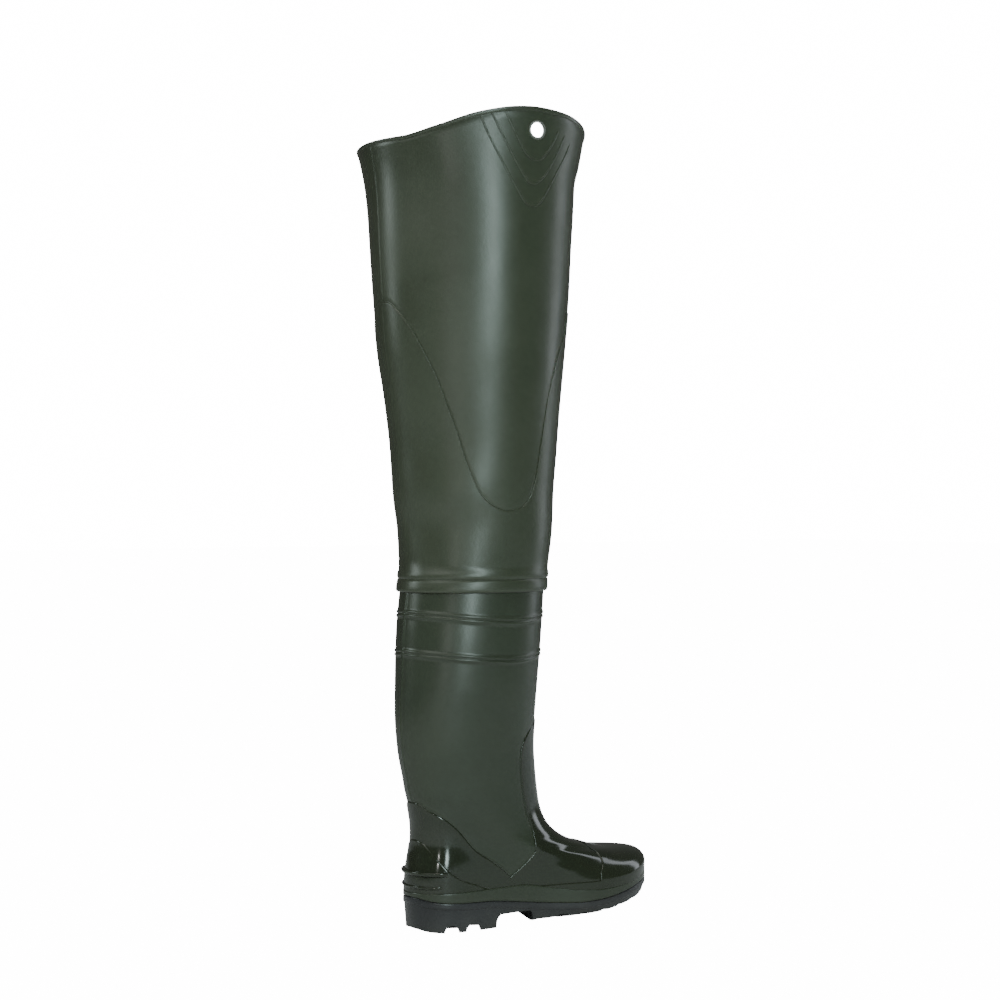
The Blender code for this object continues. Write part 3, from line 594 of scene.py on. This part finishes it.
# The lip and the seat of the boot over it: inset from the outline, and height over the part line
LIP_PROFILE = ((0.0004, -LIP_HEIGHT - 0.0004), (0.0, -LIP_HEIGHT + 0.0002), (0.0, -0.0040), (0.0, -0.0020),
               (0.0, -0.0007), (0.0002, -0.0002), (0.0007, 0.0))
TREAD_CROWN = 0.0035
ARCH_CLEARANCE = 0.013
LUG_DEPTH = 0.0055
GROOVE_WIDTH = 0.009
# The arch seen from the side: share of SOLE_LENGTH, and height as a share of ARCH_CLEARANCE
ARCH_SHAPE = ((0.268, -1.0), (0.275, 0.55), (0.280, 0.80), (0.290, 1.0), (0.405, 1.0), (0.412, 0.85),
              (0.417, 0.60), (0.421, -1.0))
ARCH_LEAN = 20.0
ARCH_PIVOT = -0.39
HEEL_NOTCHES = (0.091, 0.176)
NOTCH_LENGTH = 0.062
NOTCH_LEAN = 30.0
NOTCH_RADIUS = 0.0075
OUTER_GROOVES = (0.505, 0.583, 0.661, 0.739, 0.817, 0.895)
INNER_GROOVES = (0.583, 0.661, 0.739, 0.817, 0.895)
GROOVE_LEAN = 14.0
GROOVE_LENGTH = 0.6 * BALL_WIDTH
GROOVE_ROUNDING = 0.0012
EDGE_ROUNDING = 0.0007

sole_turns = np.linspace(0.0, 2.0 * math.pi, COLUMNS + 1)
sole_share = (1.0 - np.cos(sole_turns)) / 2.0
crown = TREAD_CROWN * smooth((0.0, 0.36, 0.48, 1.0), (0.0, 0.0, 1.0, 1.0), sole_share)
bottom_edge = sole_edge(sole_turns, EDGE_DRAFT, "tread", crown)
lip_edge = sole_edge(sole_turns, LIP_OUT, "part", -LIP_HEIGHT - 0.0009)
sections = []
for share in (1.0, 0.75, 0.5, 0.36):
    sections.append(sole_edge(sole_turns, BALL_WIDTH * 0.5 * share, "tread"))
sections.append(sole_edge(sole_turns, 0.0045, "tread", crown * 0.92))
sections.append(bottom_edge)
for share in np.linspace(0.15, 1.0, 6):
    sections.append(bottom_edge + (lip_edge - bottom_edge) * share)
for inset, lift in LIP_PROFILE:
    sections.append(sole_edge(sole_turns, inset, "part", lift))
for share in (0.2, 0.5, 1.0):
    sections.append(sole_edge(sole_turns, BALL_WIDTH * 0.5 * share, "part"))
outsole = moulded_sheet("outsole", np.array(sections))


def cutting_block(size, place, lean):
    """A block with rounded corners that cuts one groove."""
    block = start_from(bpy.ops.mesh.primitive_cube_add, size=1.0)
    block.data.transform(Matrix.Diagonal((*size, 1.0)))
    bpy.ops.object.mode_set(mode="EDIT")
    bpy.ops.mesh.select_all(action="SELECT")
    bpy.ops.mesh.bevel(offset=GROOVE_ROUNDING, segments=2, affect="EDGES")
    bpy.ops.object.mode_set(mode="OBJECT")
    block.data.transform(Matrix.Translation(place) @ Matrix.Rotation(lean, 4, "Z"))
    return block


def cut_away(piece, cutters):
    """Cut each cutter out of a piece and delete it."""
    for cutter in cutters:
        cut = piece.modifiers.new("cut", "BOOLEAN")
        cut.operation = "DIFFERENCE"
        cut.object = cutter
        pick_only(piece)
        bpy.ops.object.modifier_apply(modifier="cut")
        bpy.data.objects.remove(cutter, do_unlink=True)


arch_block = start_from(bpy.ops.mesh.primitive_circle_add, vertices=len(ARCH_SHAPE), fill_type="NGON")
arch_points = [Vector((along * SOLE_LENGTH - HEEL_OVERHANG, -BALL_WIDTH, share * ARCH_CLEARANCE))
               for along, share in ARCH_SHAPE]
for vertex, point in zip(arch_block.data.vertices, arch_points):
    vertex.co = point
bpy.ops.object.mode_set(mode="EDIT")
bpy.ops.mesh.select_all(action="SELECT")
bpy.ops.mesh.extrude_region_move(TRANSFORM_OT_translate={"value": (0.0, 2.0 * BALL_WIDTH, 0.0)})
bpy.ops.object.mode_set(mode="OBJECT")
for vertex in arch_block.data.vertices:
    if vertex.co.x > (arch_points[0].x + arch_points[-1].x) / 2.0:
        vertex.co.x += (vertex.co.y - ARCH_PIVOT * BALL_WIDTH) * math.tan(math.radians(ARCH_LEAN))
recalculate_outward(arch_block)
cutters = [arch_block]
for side, grooves in ((-1.0, OUTER_GROOVES), (1.0, INNER_GROOVES)):
    for along in HEEL_NOTCHES:
        notch = start_from(bpy.ops.mesh.primitive_cylinder_add, vertices=32, radius=NOTCH_RADIUS,
                           depth=NOTCH_LENGTH)
        place = Matrix.Translation((along * SOLE_LENGTH - HEEL_OVERHANG, side * HEEL_WIDTH / 2.0, 0.0))
        lean = Matrix.Rotation(math.radians(side * NOTCH_LEAN), 4, "Z")
        notch.data.transform(place @ lean @ Matrix.Rotation(math.pi / 2.0, 4, "X"))
        cutters.append(notch)
    for along in grooves:
        lean = math.radians(-side * GROOVE_LEAN)
        middle = Vector((along * SOLE_LENGTH - HEEL_OVERHANG, 0.0, float(sole_height("tread", along))))
        outward = side * (0.1 * BALL_WIDTH + GROOVE_LENGTH / 2.0)
        reach = Matrix.Rotation(lean, 3, "Z") @ Vector((0.0, outward, 0.0))
        size = (GROOVE_WIDTH, GROOVE_LENGTH, 2.0 * LUG_DEPTH)
        cutters.append(cutting_block(size, middle + reach, lean))
cut_away(outsole, cutters)
soften = outsole.modifiers.new("soften", "BEVEL")
soften.width = EDGE_ROUNDING
soften.segments = 2
soften.limit_method = "ANGLE"
soften.angle_limit = math.radians(48.0)
pick_only(outsole)
bpy.ops.object.modifier_apply(modifier="soften")
sole_black = rubber("sole_black", (0.0075, 0.0080, 0.0105), (0.014, 0.015, 0.019), 0.34, 0.06,
                    grain=0.00006, grain_scale=1200.0, dust=0.35)
finish_piece(outsole, sole_black, ("outsole",), sharp=35.0)


# Insole
# A loose pad of grey needle felt that lies on the outsole inside the boot. Its solid has the right form,
# so it stays, and gets its felt here.
def cloth(name, texture, settings, dark, light, roughness, sheen, depth):
    """A cloth whose threads or fibres are one texture, which gives its two shades and its relief."""
    made = bpy.data.materials.new(name)
    made.use_nodes = True
    tree = made.node_tree
    place = tree.nodes.new("ShaderNodeTexCoord").outputs["Object"]
    threads = add_node(tree, texture, {"Vector": place, **settings}).outputs["Fac"]
    shades = add_node(tree, "ShaderNodeValToRGB", {"Fac": threads})
    shades.color_ramp.elements[0].color = (*dark, 1.0)
    shades.color_ramp.elements[1].color = (*light, 1.0)
    bump = add_node(tree, "ShaderNodeBump", {"Height": threads, "Strength": 1.0, "Distance": depth})
    set_sockets(tree, tree.nodes["Principled BSDF"], {
        "Base Color": shades.outputs["Color"], "Roughness": roughness, "Sheen Weight": sheen,
        "Normal": bump.outputs["Normal"]})
    return made


insole_felt = cloth("insole_felt", "ShaderNodeTexNoise", {"Scale": 700.0, "Detail": 5.0},
                    (0.055, 0.055, 0.057), (0.16, 0.16, 0.155), roughness=0.95, sheen=0.3, depth=0.0003)
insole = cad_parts["insole"]
insole.data.materials.clear()
insole.data.materials.append(insole_felt)


# Thigh leg
# A tall hollow tube of thinner green rubber. Its hem is a band welded round the boot's top, a raised
# field with a U-shaped edge stiffens its lower half, and its collar ends in a thin turned hem.
COLLAR_HEIGHT = 0.834
COLLAR_DEPTH = 0.242
COLLAR_WIDTH = 0.212
COLLAR_SLOPE = 0.0365
THIGH_WALL = 0.0016
HEM_HEIGHT = BOOT_HEIGHT - 0.022
COLLAR_HEM = 0.005
HEM_OUT = 0.0006
HEM_ROUNDING = 0.0008
# Sections of the leg: ends as shares of half COLLAR_DEPTH, widths of half COLLAR_WIDTH
THIGH_SECTIONS = (
    # rise, centre, depth, width_back, width_side, width_front
    (0.09, 0.351, 0.711, 0.59, 0.64, 0.64),
    (0.17, 0.335, 0.736, 0.61, 0.67, 0.67),
    (0.28, 0.333, 0.770, 0.63, 0.72, 0.73),
    (0.38, 0.323, 0.810, 0.66, 0.765, 0.765),
    (0.49, 0.304, 0.859, 0.70, 0.82, 0.82),
    (0.62, 0.304, 0.901, 0.74, 0.865, 0.86),
    (0.72, 0.300, 0.920, 0.77, 0.895, 0.89),
    (0.81, 0.300, 0.936, 0.80, 0.920, 0.92),
    (0.87, 0.2945, 0.9455, 0.83, 0.945, 0.95),
    (0.92, 0.3045, 0.9765, 0.868, 0.975, 0.982),
    (1.00, 0.310, 1.030, 0.94, 1.010, 1.02),
)
# How far the rim falls round the collar, as a share of COLLAR_SLOPE
COLLAR_RIM = np.array((
    # turn, fall
    (0.00, 0.93), (0.07, 0.88), (0.12, 0.64), (0.18, 0.24), (0.23, 0.04), (0.26, 0.00), (0.31, 0.03),
    (0.36, 0.14), (0.42, 0.34), (0.50, 0.56), (0.62, 0.82), (0.76, 0.96), (0.91, 1.00), (1.00, 0.93),
))
PANEL_OUT = 0.0008
# The raised field's edge: how far below its line each ring lies, and its share of PANEL_OUT
PANEL_STEP = ((0.0026, 1.0), (0.0016, 1.0), (0.0010, 0.97), (0.0005, 0.8), (0.00015, 0.4), (0.0, 0.0),
              (-0.0004, -0.25), (-0.0010, -0.2), (-0.0020, 0.0))
PANEL_CLEAR = 0.0030
# Height of the raised field's edge at each x, on both sides of the leg
PANEL_EDGE = (
    (-0.110, 0.6470), (-0.0716, 0.6440), (-0.0664, 0.6330), (-0.0589, 0.6150), (-0.0480, 0.5870),
    (-0.0387, 0.5650), (-0.0283, 0.5360), (-0.0163, 0.5030), (-0.0055, 0.4680), (0.0055, 0.4450),
    (0.0227, 0.4320), (0.0349, 0.4290), (0.0511, 0.4320), (0.0642, 0.4440), (0.0720, 0.4700),
    (0.0757, 0.5000), (0.0842, 0.5480), (0.0972, 0.5860), (0.1125, 0.6120), (0.1202, 0.6360),
    (0.160, 0.6420),
)
# Soft hollows and swells that the empty leg keeps: middle height, middle turn, spread of each, and depth
LEG_FOLDS = (
    (0.490, 40.0, 0.030, 26.0, -0.0014),
    (0.452, 62.0, 0.022, 30.0, 0.0010),
    (0.545, 20.0, 0.040, 18.0, 0.0011),
    (0.415, 30.0, 0.018, 32.0, -0.0008),
    (0.600, 88.0, 0.110, 14.0, 0.0008),
    (0.700, 55.0, 0.080, 16.0, -0.0007),
    (0.520, 150.0, 0.050, 25.0, -0.0009),
    (0.470, 235.0, 0.040, 28.0, -0.0013),
    (0.640, 265.0, 0.070, 24.0, 0.0010),
    (0.430, 310.0, 0.025, 30.0, 0.0011),
)

fit = FIT + THIGH_WALL
top = boot_rows[-1]
leg_rows = [[BOOT_HEIGHT, top[0] - fit, top[1] + fit, top[4] + fit, top[6] + fit, top[8] + fit]]
for rise, centre, depth, *widths in THIGH_SECTIONS:
    height = BOOT_HEIGHT + rise * (COLLAR_HEIGHT - BOOT_HEIGHT)
    ends = [(centre + side * depth) * COLLAR_DEPTH / 2.0 for side in (-1.0, 1.0)]
    leg_rows.append([height, *ends, *(np.array(widths) * COLLAR_WIDTH / 2.0)])
leg_rows = np.array(leg_rows)


def leg_ring(height, turns):
    """Points of the leg's outer face at a height. Below the boot's top it follows the boot."""
    if height < BOOT_HEIGHT:
        return on_face(boot_face, row_at(height), turns, fit)
    _, back, front, *widths = smooth(leg_rows[:, 0], leg_rows, height)
    share = (1.0 - np.cos(turns)) / 2.0
    x = back + (front - back) * share
    y = -smooth((0.0, 0.5, 1.0), widths, share) * np.sin(turns)
    climb = np.clip((height - BOOT_HEIGHT) / (COLLAR_HEIGHT - BOOT_HEIGHT), 0.0, 1.0)
    fall = COLLAR_SLOPE * smooth(COLLAR_RIM[:, 0], COLLAR_RIM[:, 1], turns / (2.0 * math.pi))
    fold = np.zeros(len(turns))
    for middle, turn, tall, wide, depth in LEG_FOLDS:
        away = np.degrees(turns) - turn
        away = (away + 180.0) % 360.0 - 180.0
        fold += depth * np.exp(-((height - middle) / tall) ** 2 - (away / wide) ** 2)
    outward = np.stack([x - (back + front) / 2.0, y], axis=1)
    outward /= np.linalg.norm(outward, axis=1)[:, None]
    return np.stack([x + outward[:, 0] * fold, y + outward[:, 1] * fold, height - fall * climb**4], axis=1)


leg_levels = np.unique(np.concatenate([np.linspace(HEM_HEIGHT - 0.002, BOOT_HEIGHT, 25),
                                       np.linspace(BOOT_HEIGHT, COLLAR_HEIGHT, 469)]))
leg_face = face_table(leg_ring, leg_levels)

# The seam down the back of the leg: degrees from the back, and how far it stands out
SEAM_PROFILE = ((0.0, 0.00045), (0.35, 0.0004), (0.7, 0.0))
leg_turns = columns_round([0.0, 0.35, 0.55, 0.7, 1.0], 1.5)
seam = np.interp(from_back(leg_turns), *zip(*SEAM_PROFILE))

panel_top = np.full(len(leg_turns), 0.5)
for _ in range(12):
    panel_top = z_of_x(PANEL_EDGE, on_face(leg_face, panel_top, leg_turns)[:, 0])

# Height over the hem and outward step of the welded band, from its lower lip up to the leg, and of the
# collar's turned hem over its lower edge
CUFF_PROFILE = ((-0.0004, 0.0003), (0.0002, 0.0012), (0.0012, 0.0019), (0.0028, 0.0022), (0.0060, 0.0022),
                (0.0100, 0.0020), (0.0118, 0.0018), (0.0124, 0.0012), (0.0130, 0.0010), (0.0136, 0.0014),
                (0.0148, 0.0021), (0.0170, 0.0024), (0.0200, 0.0020), (0.0225, 0.0012))
HEM_PROFILE = ((-0.0012, 0.0), (-0.0006, -0.0003), (0.0, -0.0003), (0.0004, 0.0003), (0.0010, HEM_OUT),
               (0.0030, HEM_OUT), (0.0042, HEM_OUT))
sections = []
for rise, out in CUFF_PROFILE:
    sections.append(on_face(leg_face, HEM_HEIGHT + rise, leg_turns, out))
cuff_top = HEM_HEIGHT + CUFF_PROFILE[-1][0]
for share in np.linspace(0.04, 0.985, 62):
    height = cuff_top + (panel_top - PANEL_CLEAR - cuff_top) * share
    sections.append(on_face(leg_face, height, leg_turns, PANEL_OUT + np.maximum(seam - PANEL_OUT * 0.4, 0.0)))
for below, share in PANEL_STEP:
    sections.append(on_face(leg_face, panel_top - below, leg_turns, PANEL_OUT * share))
hem_low = COLLAR_HEIGHT - COLLAR_HEM
for share in np.linspace(0.02, 0.985, 80):
    height = panel_top + PANEL_CLEAR + (hem_low - 0.0020 - panel_top - PANEL_CLEAR) * share
    sections.append(on_face(leg_face, height, leg_turns, seam))
for rise, out in HEM_PROFILE:
    sections.append(on_face(leg_face, hem_low + rise, leg_turns, out))
for angle in np.radians((20.0, 45.0, 70.0, 90.0, 110.0, 135.0, 160.0)):
    out = -THIGH_WALL / 2.0 + (THIGH_WALL / 2.0 + HEM_OUT) * math.cos(angle)
    height = COLLAR_HEIGHT - HEM_ROUNDING * (1.0 - math.sin(angle))
    sections.append(on_face(leg_face, height, leg_turns, out))
inner_levels = np.concatenate([np.linspace(COLLAR_HEIGHT - 0.002, BOOT_HEIGHT + 0.002, 66),
                               np.linspace(BOOT_HEIGHT - 0.002, HEM_HEIGHT, 5)])
for height in inner_levels:
    sections.append(on_face(leg_face, height, leg_turns, -THIGH_WALL))
sections.append(sections[0])
leg = moulded_sheet("thigh_leg_wall", np.array(sections))


# The strap hole
# One hole for a belt strap, punched through the outer side of the collar. It is a little wider than high,
# and a thin ring of pale rubber, moulded on the leg, runs round it.
EYELET = Vector((0.0460, -0.106, 0.8110))
EYELET_RADIUS = 0.00775
EYELET_STRETCH = 1.12
RIM_OUT = 0.0007
RIM_BEAD = 0.0012
RIM_SQUASH = 0.6


def punch_hole(piece, radius):
    """Punch the strap hole through a piece."""
    punch = start_from(bpy.ops.mesh.primitive_cylinder_add, vertices=48, radius=radius, depth=0.05)
    stretch = Matrix.Diagonal((EYELET_STRETCH, 1.0, 1.0, 1.0))
    punch.data.transform(Matrix.Translation(EYELET) @ stretch @ Matrix.Rotation(math.pi / 2.0, 4, "X"))
    cut_away(piece, [punch])


punch_hole(leg, EYELET_RADIUS)
leg_green = rubber("leg_green", (0.031, 0.038, 0.023), (0.043, 0.052, 0.032), 0.34, 0.05, grain=0.00005)
finish_piece(leg, leg_green, ("thigh_leg",))


def ring_bead(name, path, radius, squash, closed=True):
    """A rounded bead along a path of points with normals, half sunk in the face that it follows."""
    points, outs = path
    around = np.linspace(0.0, 2.0 * math.pi, 13)
    ahead = np.roll(points, -1, axis=0) - np.roll(points, 1, axis=0)
    if not closed:
        ahead[0] = points[1] - points[0]
        ahead[-1] = points[-1] - points[-2]
    ahead /= np.linalg.norm(ahead, axis=1)[:, None]
    side = np.cross(ahead, outs)
    side /= np.linalg.norm(side, axis=1)[:, None]
    size = np.broadcast_to(radius, len(points))
    rings = []
    for turn in around:
        rings.append(points + side * (math.cos(turn) * size)[:, None]
                     + outs * (math.sin(turn) * size * squash)[:, None])
    grid = np.array(rings).transpose(1, 0, 2)
    if closed:
        grid = np.concatenate([grid, grid[:1]])
    return moulded_sheet(name, grid)


def leg_spot(x, z):
    """Height level and turn of the leg's outer side at a place seen from the side."""
    turns = np.radians(np.linspace(20.0, 160.0, 281))
    level = np.full(len(turns), z)
    for _ in range(6):
        level = level + (z - on_face(leg_face, level, turns)[:, 2])
    across = on_face(leg_face, level, turns)[:, 0]
    return float(np.interp(x, across, level)), float(np.interp(x, across, turns))


def leg_line(spots):
    """Points on the leg's outer side with their normals, from places seen from the side."""
    levels, turns = np.array([leg_spot(x, z) for x, z in spots]).T
    points = on_face(leg_face, levels, turns)
    return points, on_face(leg_face, levels, turns, 1.0) - points


hole_rim = [(EYELET.x + (EYELET_RADIUS + RIM_OUT) * EYELET_STRETCH * math.cos(angle),
             EYELET.z + (EYELET_RADIUS + RIM_OUT) * math.sin(angle))
            for angle in np.linspace(0.0, 2.0 * math.pi, 65)[:-1]]
eyelet = ring_bead("eyelet_ring", leg_line(hole_rim), RIM_BEAD, RIM_SQUASH)
eyelet_grey = rubber("eyelet_grey", (0.10, 0.105, 0.09), (0.16, 0.165, 0.145), 0.35, 0.05)
finish_piece(eyelet, eyelet_grey)


# Chevrons round the strap hole
# Three nested beads with rounded points, moulded on the collar in the leg's own rubber. They stiffen the
# sheet where the strap pulls on it, and fade out towards the hem.
CHEVRON_RADIUS = 0.0011
CHEVRON_SQUASH = 0.55
CHEVRON_TAPER = 0.004
CHEVRONS = {
    # x, z of each corner, seen from the side
    "chevron_outer": (
        (-0.0168, 0.8220), (-0.0065, 0.8015), (0.0133, 0.770), (0.0273, 0.7498), (0.0350, 0.7400),
        (0.0410, 0.7365), (0.0476, 0.7360), (0.0530, 0.7380), (0.0577, 0.742), (0.0665, 0.7545),
        (0.0763, 0.769), (0.0889, 0.788), (0.0985, 0.805)),
    "chevron_middle": (
        (-0.0066, 0.8255), (0.0064, 0.8035), (0.0230, 0.7785), (0.0340, 0.7643), (0.0400, 0.7593),
        (0.0464, 0.7581), (0.0520, 0.7603), (0.0575, 0.7643), (0.0660, 0.7745), (0.0759, 0.7900),
        (0.0870, 0.811)),
    "chevron_inner": (
        (0.0068, 0.8282), (0.0185, 0.8090), (0.0310, 0.7900), (0.0380, 0.7840), (0.0464, 0.7816),
        (0.0540, 0.7835), (0.0610, 0.7900), (0.0680, 0.7995), (0.0770, 0.8155)),
}
for name, corners in CHEVRONS.items():
    corners = np.array(corners)
    lengths = np.concatenate([[0.0], np.cumsum(np.linalg.norm(np.diff(corners, axis=0), axis=1))])
    steps = np.linspace(0.0, lengths[-1], 120)
    line = smooth(lengths, corners, steps)
    taper = np.clip(np.minimum(steps, lengths[-1] - steps) / CHEVRON_TAPER, 0.12, 1.0)
    bead = ring_bead(name, leg_line(line), CHEVRON_RADIUS * taper, CHEVRON_SQUASH, closed=False)
    finish_piece(bead, leg_green)


# Kick ledges
# Two short shelves of the boot's own rubber, moulded across the back of the heel, for pushing the boot off
# with the other foot.
LEDGE_LIFT = 0.0012
LEDGE_SINK = 0.002
LEDGES = (
    # name, height, out, half height, reach to each side in degrees
    ("kick_ledge", 0.0600, 0.0045, 0.0036, 33.0),
    ("low_ledge", 0.0465, 0.0028, 0.0024, 29.0),
)
# How far a shelf stands out from its lower to its upper edge, which both lie inside the wall
LEDGE_PROFILE = ((0.0, -0.35), (0.10, 0.25), (0.35, 0.75), (0.62, 0.97), (0.80, 1.0), (0.92, 0.85),
                 (0.98, 0.45), (1.0, -0.35))
for name, height, out, half, reach in LEDGES:
    turns = np.radians(np.linspace(-reach, reach, 61))
    rows = np.linspace(0.0, 11.0, 400)
    levels = []
    for turn in turns:
        rising = on_face(boot_face, rows, turn)[:, 2]
        levels.append(np.interp((height - half, height + half * 0.6), rising, rows))
    levels = np.array(levels)
    ends = np.sqrt(np.clip(1.0 - (np.abs(turns) / math.radians(reach)) ** 6, 0.0, 1.0))
    profile = [(share, np.where(lift > 0.0, LEDGE_LIFT + lift * out * ends, lift * LEDGE_SINK))
               for share, lift in LEDGE_PROFILE]
    shelf = []
    for share, raised in (*profile, (0.7, -LEDGE_LIFT), (0.3, -LEDGE_LIFT)):
        level = levels[:, 0] + (levels[:, 1] - levels[:, 0]) * share
        shelf.append(on_face(boot_face, level, turns, raised))
    ledge = moulded_sheet(name, np.array([*shelf, shelf[0]]))
    pick_only(ledge)
    bpy.ops.object.mode_set(mode="EDIT")
    bpy.ops.mesh.select_all(action="DESELECT")
    bpy.ops.mesh.select_non_manifold()
    bpy.ops.mesh.fill()
    bpy.ops.object.mode_set(mode="OBJECT")
    recalculate_outward(ledge)
    finish_piece(ledge, foot_green)


# Lining
# A thin knitted cloth, bonded to the inside of the leg and of the boot before the rubber sets. The strap
# hole is cut a little wider in it, so that no cloth shows round the hole.
LINING_GAP = 0.00005
LINING_THICKNESS = 0.0004
LINING_CUTBACK = 0.0004
LINING_BELOW_RIM = 0.0035


def lining(name, face, wall, levels):
    """A thin cloth tube along the inner side of a wall, over the levels of the wall's outer face."""
    turns = np.linspace(0.0, 2.0 * math.pi, 97)
    outside = [on_face(face, level, turns, -(wall + LINING_GAP)) for level in levels]
    inside = [on_face(face, level, turns, -(wall + LINING_GAP + LINING_THICKNESS)) for level in levels[::-1]]
    return moulded_sheet(name, np.array([*outside, *inside, outside[0]]))


lined_heights = np.linspace(BOOT_HEIGHT + 0.001, COLLAR_HEIGHT - LINING_BELOW_RIM, 60)
leg_lining = lining("leg_lining", leg_face, THIGH_WALL, lined_heights)
punch_hole(leg_lining, EYELET_RADIUS + LINING_CUTBACK)
boot_lining = lining("boot_lining", boot_face, BOOT_WALL, np.arange(1.0, 16.01, 0.25))
knit = cloth("lining_knit", "ShaderNodeTexWave", {"Scale": 260.0, "Distortion": 1.5},
             (0.022, 0.024, 0.022), (0.052, 0.056, 0.050), roughness=0.9, sheen=0.25, depth=0.0002)
knit.node_tree.nodes["Wave Texture"].bands_direction = "Z"
for piece in (leg_lining, boot_lining):
    finish_piece(piece, knit)


# Floor
# A plain pale floor that the wader stands on. The camera sees it brighter than it lights the rubber, so
# that it is as white as the surround.
CAMERA_GLOW = 19.0
GLOW_SHARE = 0.8
floor = start_from(bpy.ops.mesh.primitive_plane_add, size=30.0)
floor.name = "floor"
floor_white = bpy.data.materials.new("floor_white")
floor_white.use_nodes = True
tree = floor_white.node_tree
matt = set_sockets(tree, tree.nodes["Principled BSDF"], {
    "Base Color": (0.86, 0.86, 0.86, 1.0), "Roughness": 0.9})
glow = add_node(tree, "ShaderNodeEmission", {"Color": (1.0, 1.0, 1.0, 1.0), "Strength": CAMERA_GLOW})
seen = tree.nodes.new("ShaderNodeLightPath").outputs["Is Camera Ray"]
some = add_node(tree, "ShaderNodeMath", {0: seen, 1: GLOW_SHARE}, operation="MULTIPLY")
blend = add_node(tree, "ShaderNodeMixShader", {
    "Fac": some.outputs["Value"], 1: matt.outputs["BSDF"], 2: glow.outputs["Emission"]})
tree.links.new(blend.outputs["Shader"], tree.nodes["Material Output"].inputs["Surface"])
floor.data.materials.append(floor_white)


# Light
# Soft studio light: tall panels to the right, to the left and behind, a small one by the camera, one
# overhead, one that faces the floor, and a white surround that the camera sees brighter than the rubber does.
VIEW_TURN = math.radians(-34.0)
LIT_MIDDLE = Vector((0.04, 0.0, 0.45))
back_way = Vector((math.sin(VIEW_TURN), -math.cos(VIEW_TURN), 0.0))
right_way = Vector((math.cos(VIEW_TURN), math.sin(VIEW_TURN), 0.0))


def panel(name, turn, distance, height, size, power, colour, roll=0.0):
    """A soft rectangular light at a turn to the right of the camera, aimed at the wader and rolled."""
    light = bpy.data.lights.new(name, "AREA")
    light.shape = "RECTANGLE"
    light.size, light.size_y = size
    light.energy = power
    light.color = colour
    holder = bpy.data.objects.new(name, light)
    bpy.context.scene.collection.objects.link(holder)
    away = back_way * math.cos(math.radians(turn)) + right_way * math.sin(math.radians(turn))
    holder.location = away * distance + Vector((LIT_MIDDLE.x, 0.0, height))
    facing = (LIT_MIDDLE - holder.location).to_track_quat("-Z", "Y").to_matrix()
    holder.rotation_euler = (facing @ Matrix.Rotation(math.radians(roll), 3, "Z")).to_euler()
    return holder


panel("panel_right", 29.0, 2.6, 1.05, (0.36, 2.0), 42.0, (0.80, 1.0, 0.98), roll=-20.0)
panel("panel_left", -80.0, 2.2, 1.15, (0.6, 1.1), 14.0, (0.86, 1.0, 0.97))
panel("panel_back_right", 118.0, 2.2, 0.90, (0.4, 1.7), 6.5, (0.88, 0.93, 1.0))
panel("panel_camera", -3.0, 2.3, 0.30, (0.08, 0.08), 1.8, (1.0, 0.99, 0.96))
panel("panel_high", 20.0, 0.45, 2.20, (0.5, 0.5), 5.0, (1.0, 0.97, 0.88))
panel("panel_behind", 160.0, 1.0, 2.0, (1.3, 1.3), 7.0, (0.86, 0.95, 1.0))
floor_panel = panel("panel_floor", -28.0, 0.95, 0.85, (1.1, 0.8), 5.0, (0.96, 1.0, 0.97))
floor_panel.rotation_euler = (0.0, 0.0, 0.0)

world = bpy.data.worlds.new("surround")
bpy.context.scene.world = world
world.use_nodes = True
tree = world.node_tree
dim = set_sockets(tree, tree.nodes["Background"], {"Color": (0.86, 0.88, 0.84, 1.0), "Strength": 0.12})
bright = add_node(tree, "ShaderNodeBackground", {"Color": (1.0, 1.0, 1.0, 1.0), "Strength": 16.0})
seen = tree.nodes.new("ShaderNodeLightPath").outputs["Is Camera Ray"]
mix = add_node(tree, "ShaderNodeMixShader", {
    "Fac": seen, 1: dim.outputs["Background"], 2: bright.outputs["Background"]})
tree.links.new(mix.outputs["Shader"], tree.nodes["World Output"].inputs["Surface"])


# Camera
# Level, 2.1 m away at 0.44 m, looking at the boot's outer side from behind the middle.
CAMERA_DISTANCE = 2.1
CAMERA_HEIGHT = 0.44
CAMERA_LENS = 73.3
CAMERA_TURN = 1.66
camera_data = bpy.data.cameras.new("camera")
camera_data.lens = CAMERA_LENS
camera_data.sensor_width = 36.0
camera_data.clip_end = 50.0
camera = bpy.data.objects.new("camera", camera_data)
bpy.context.scene.collection.objects.link(camera)
camera.location = back_way * CAMERA_DISTANCE + Vector((0.0, 0.0, CAMERA_HEIGHT))
look = Matrix.Rotation(-math.radians(CAMERA_TURN), 3, "Z") @ -back_way
camera.rotation_euler = look.to_track_quat("-Z", "Y").to_euler()
bpy.context.scene.camera = camera
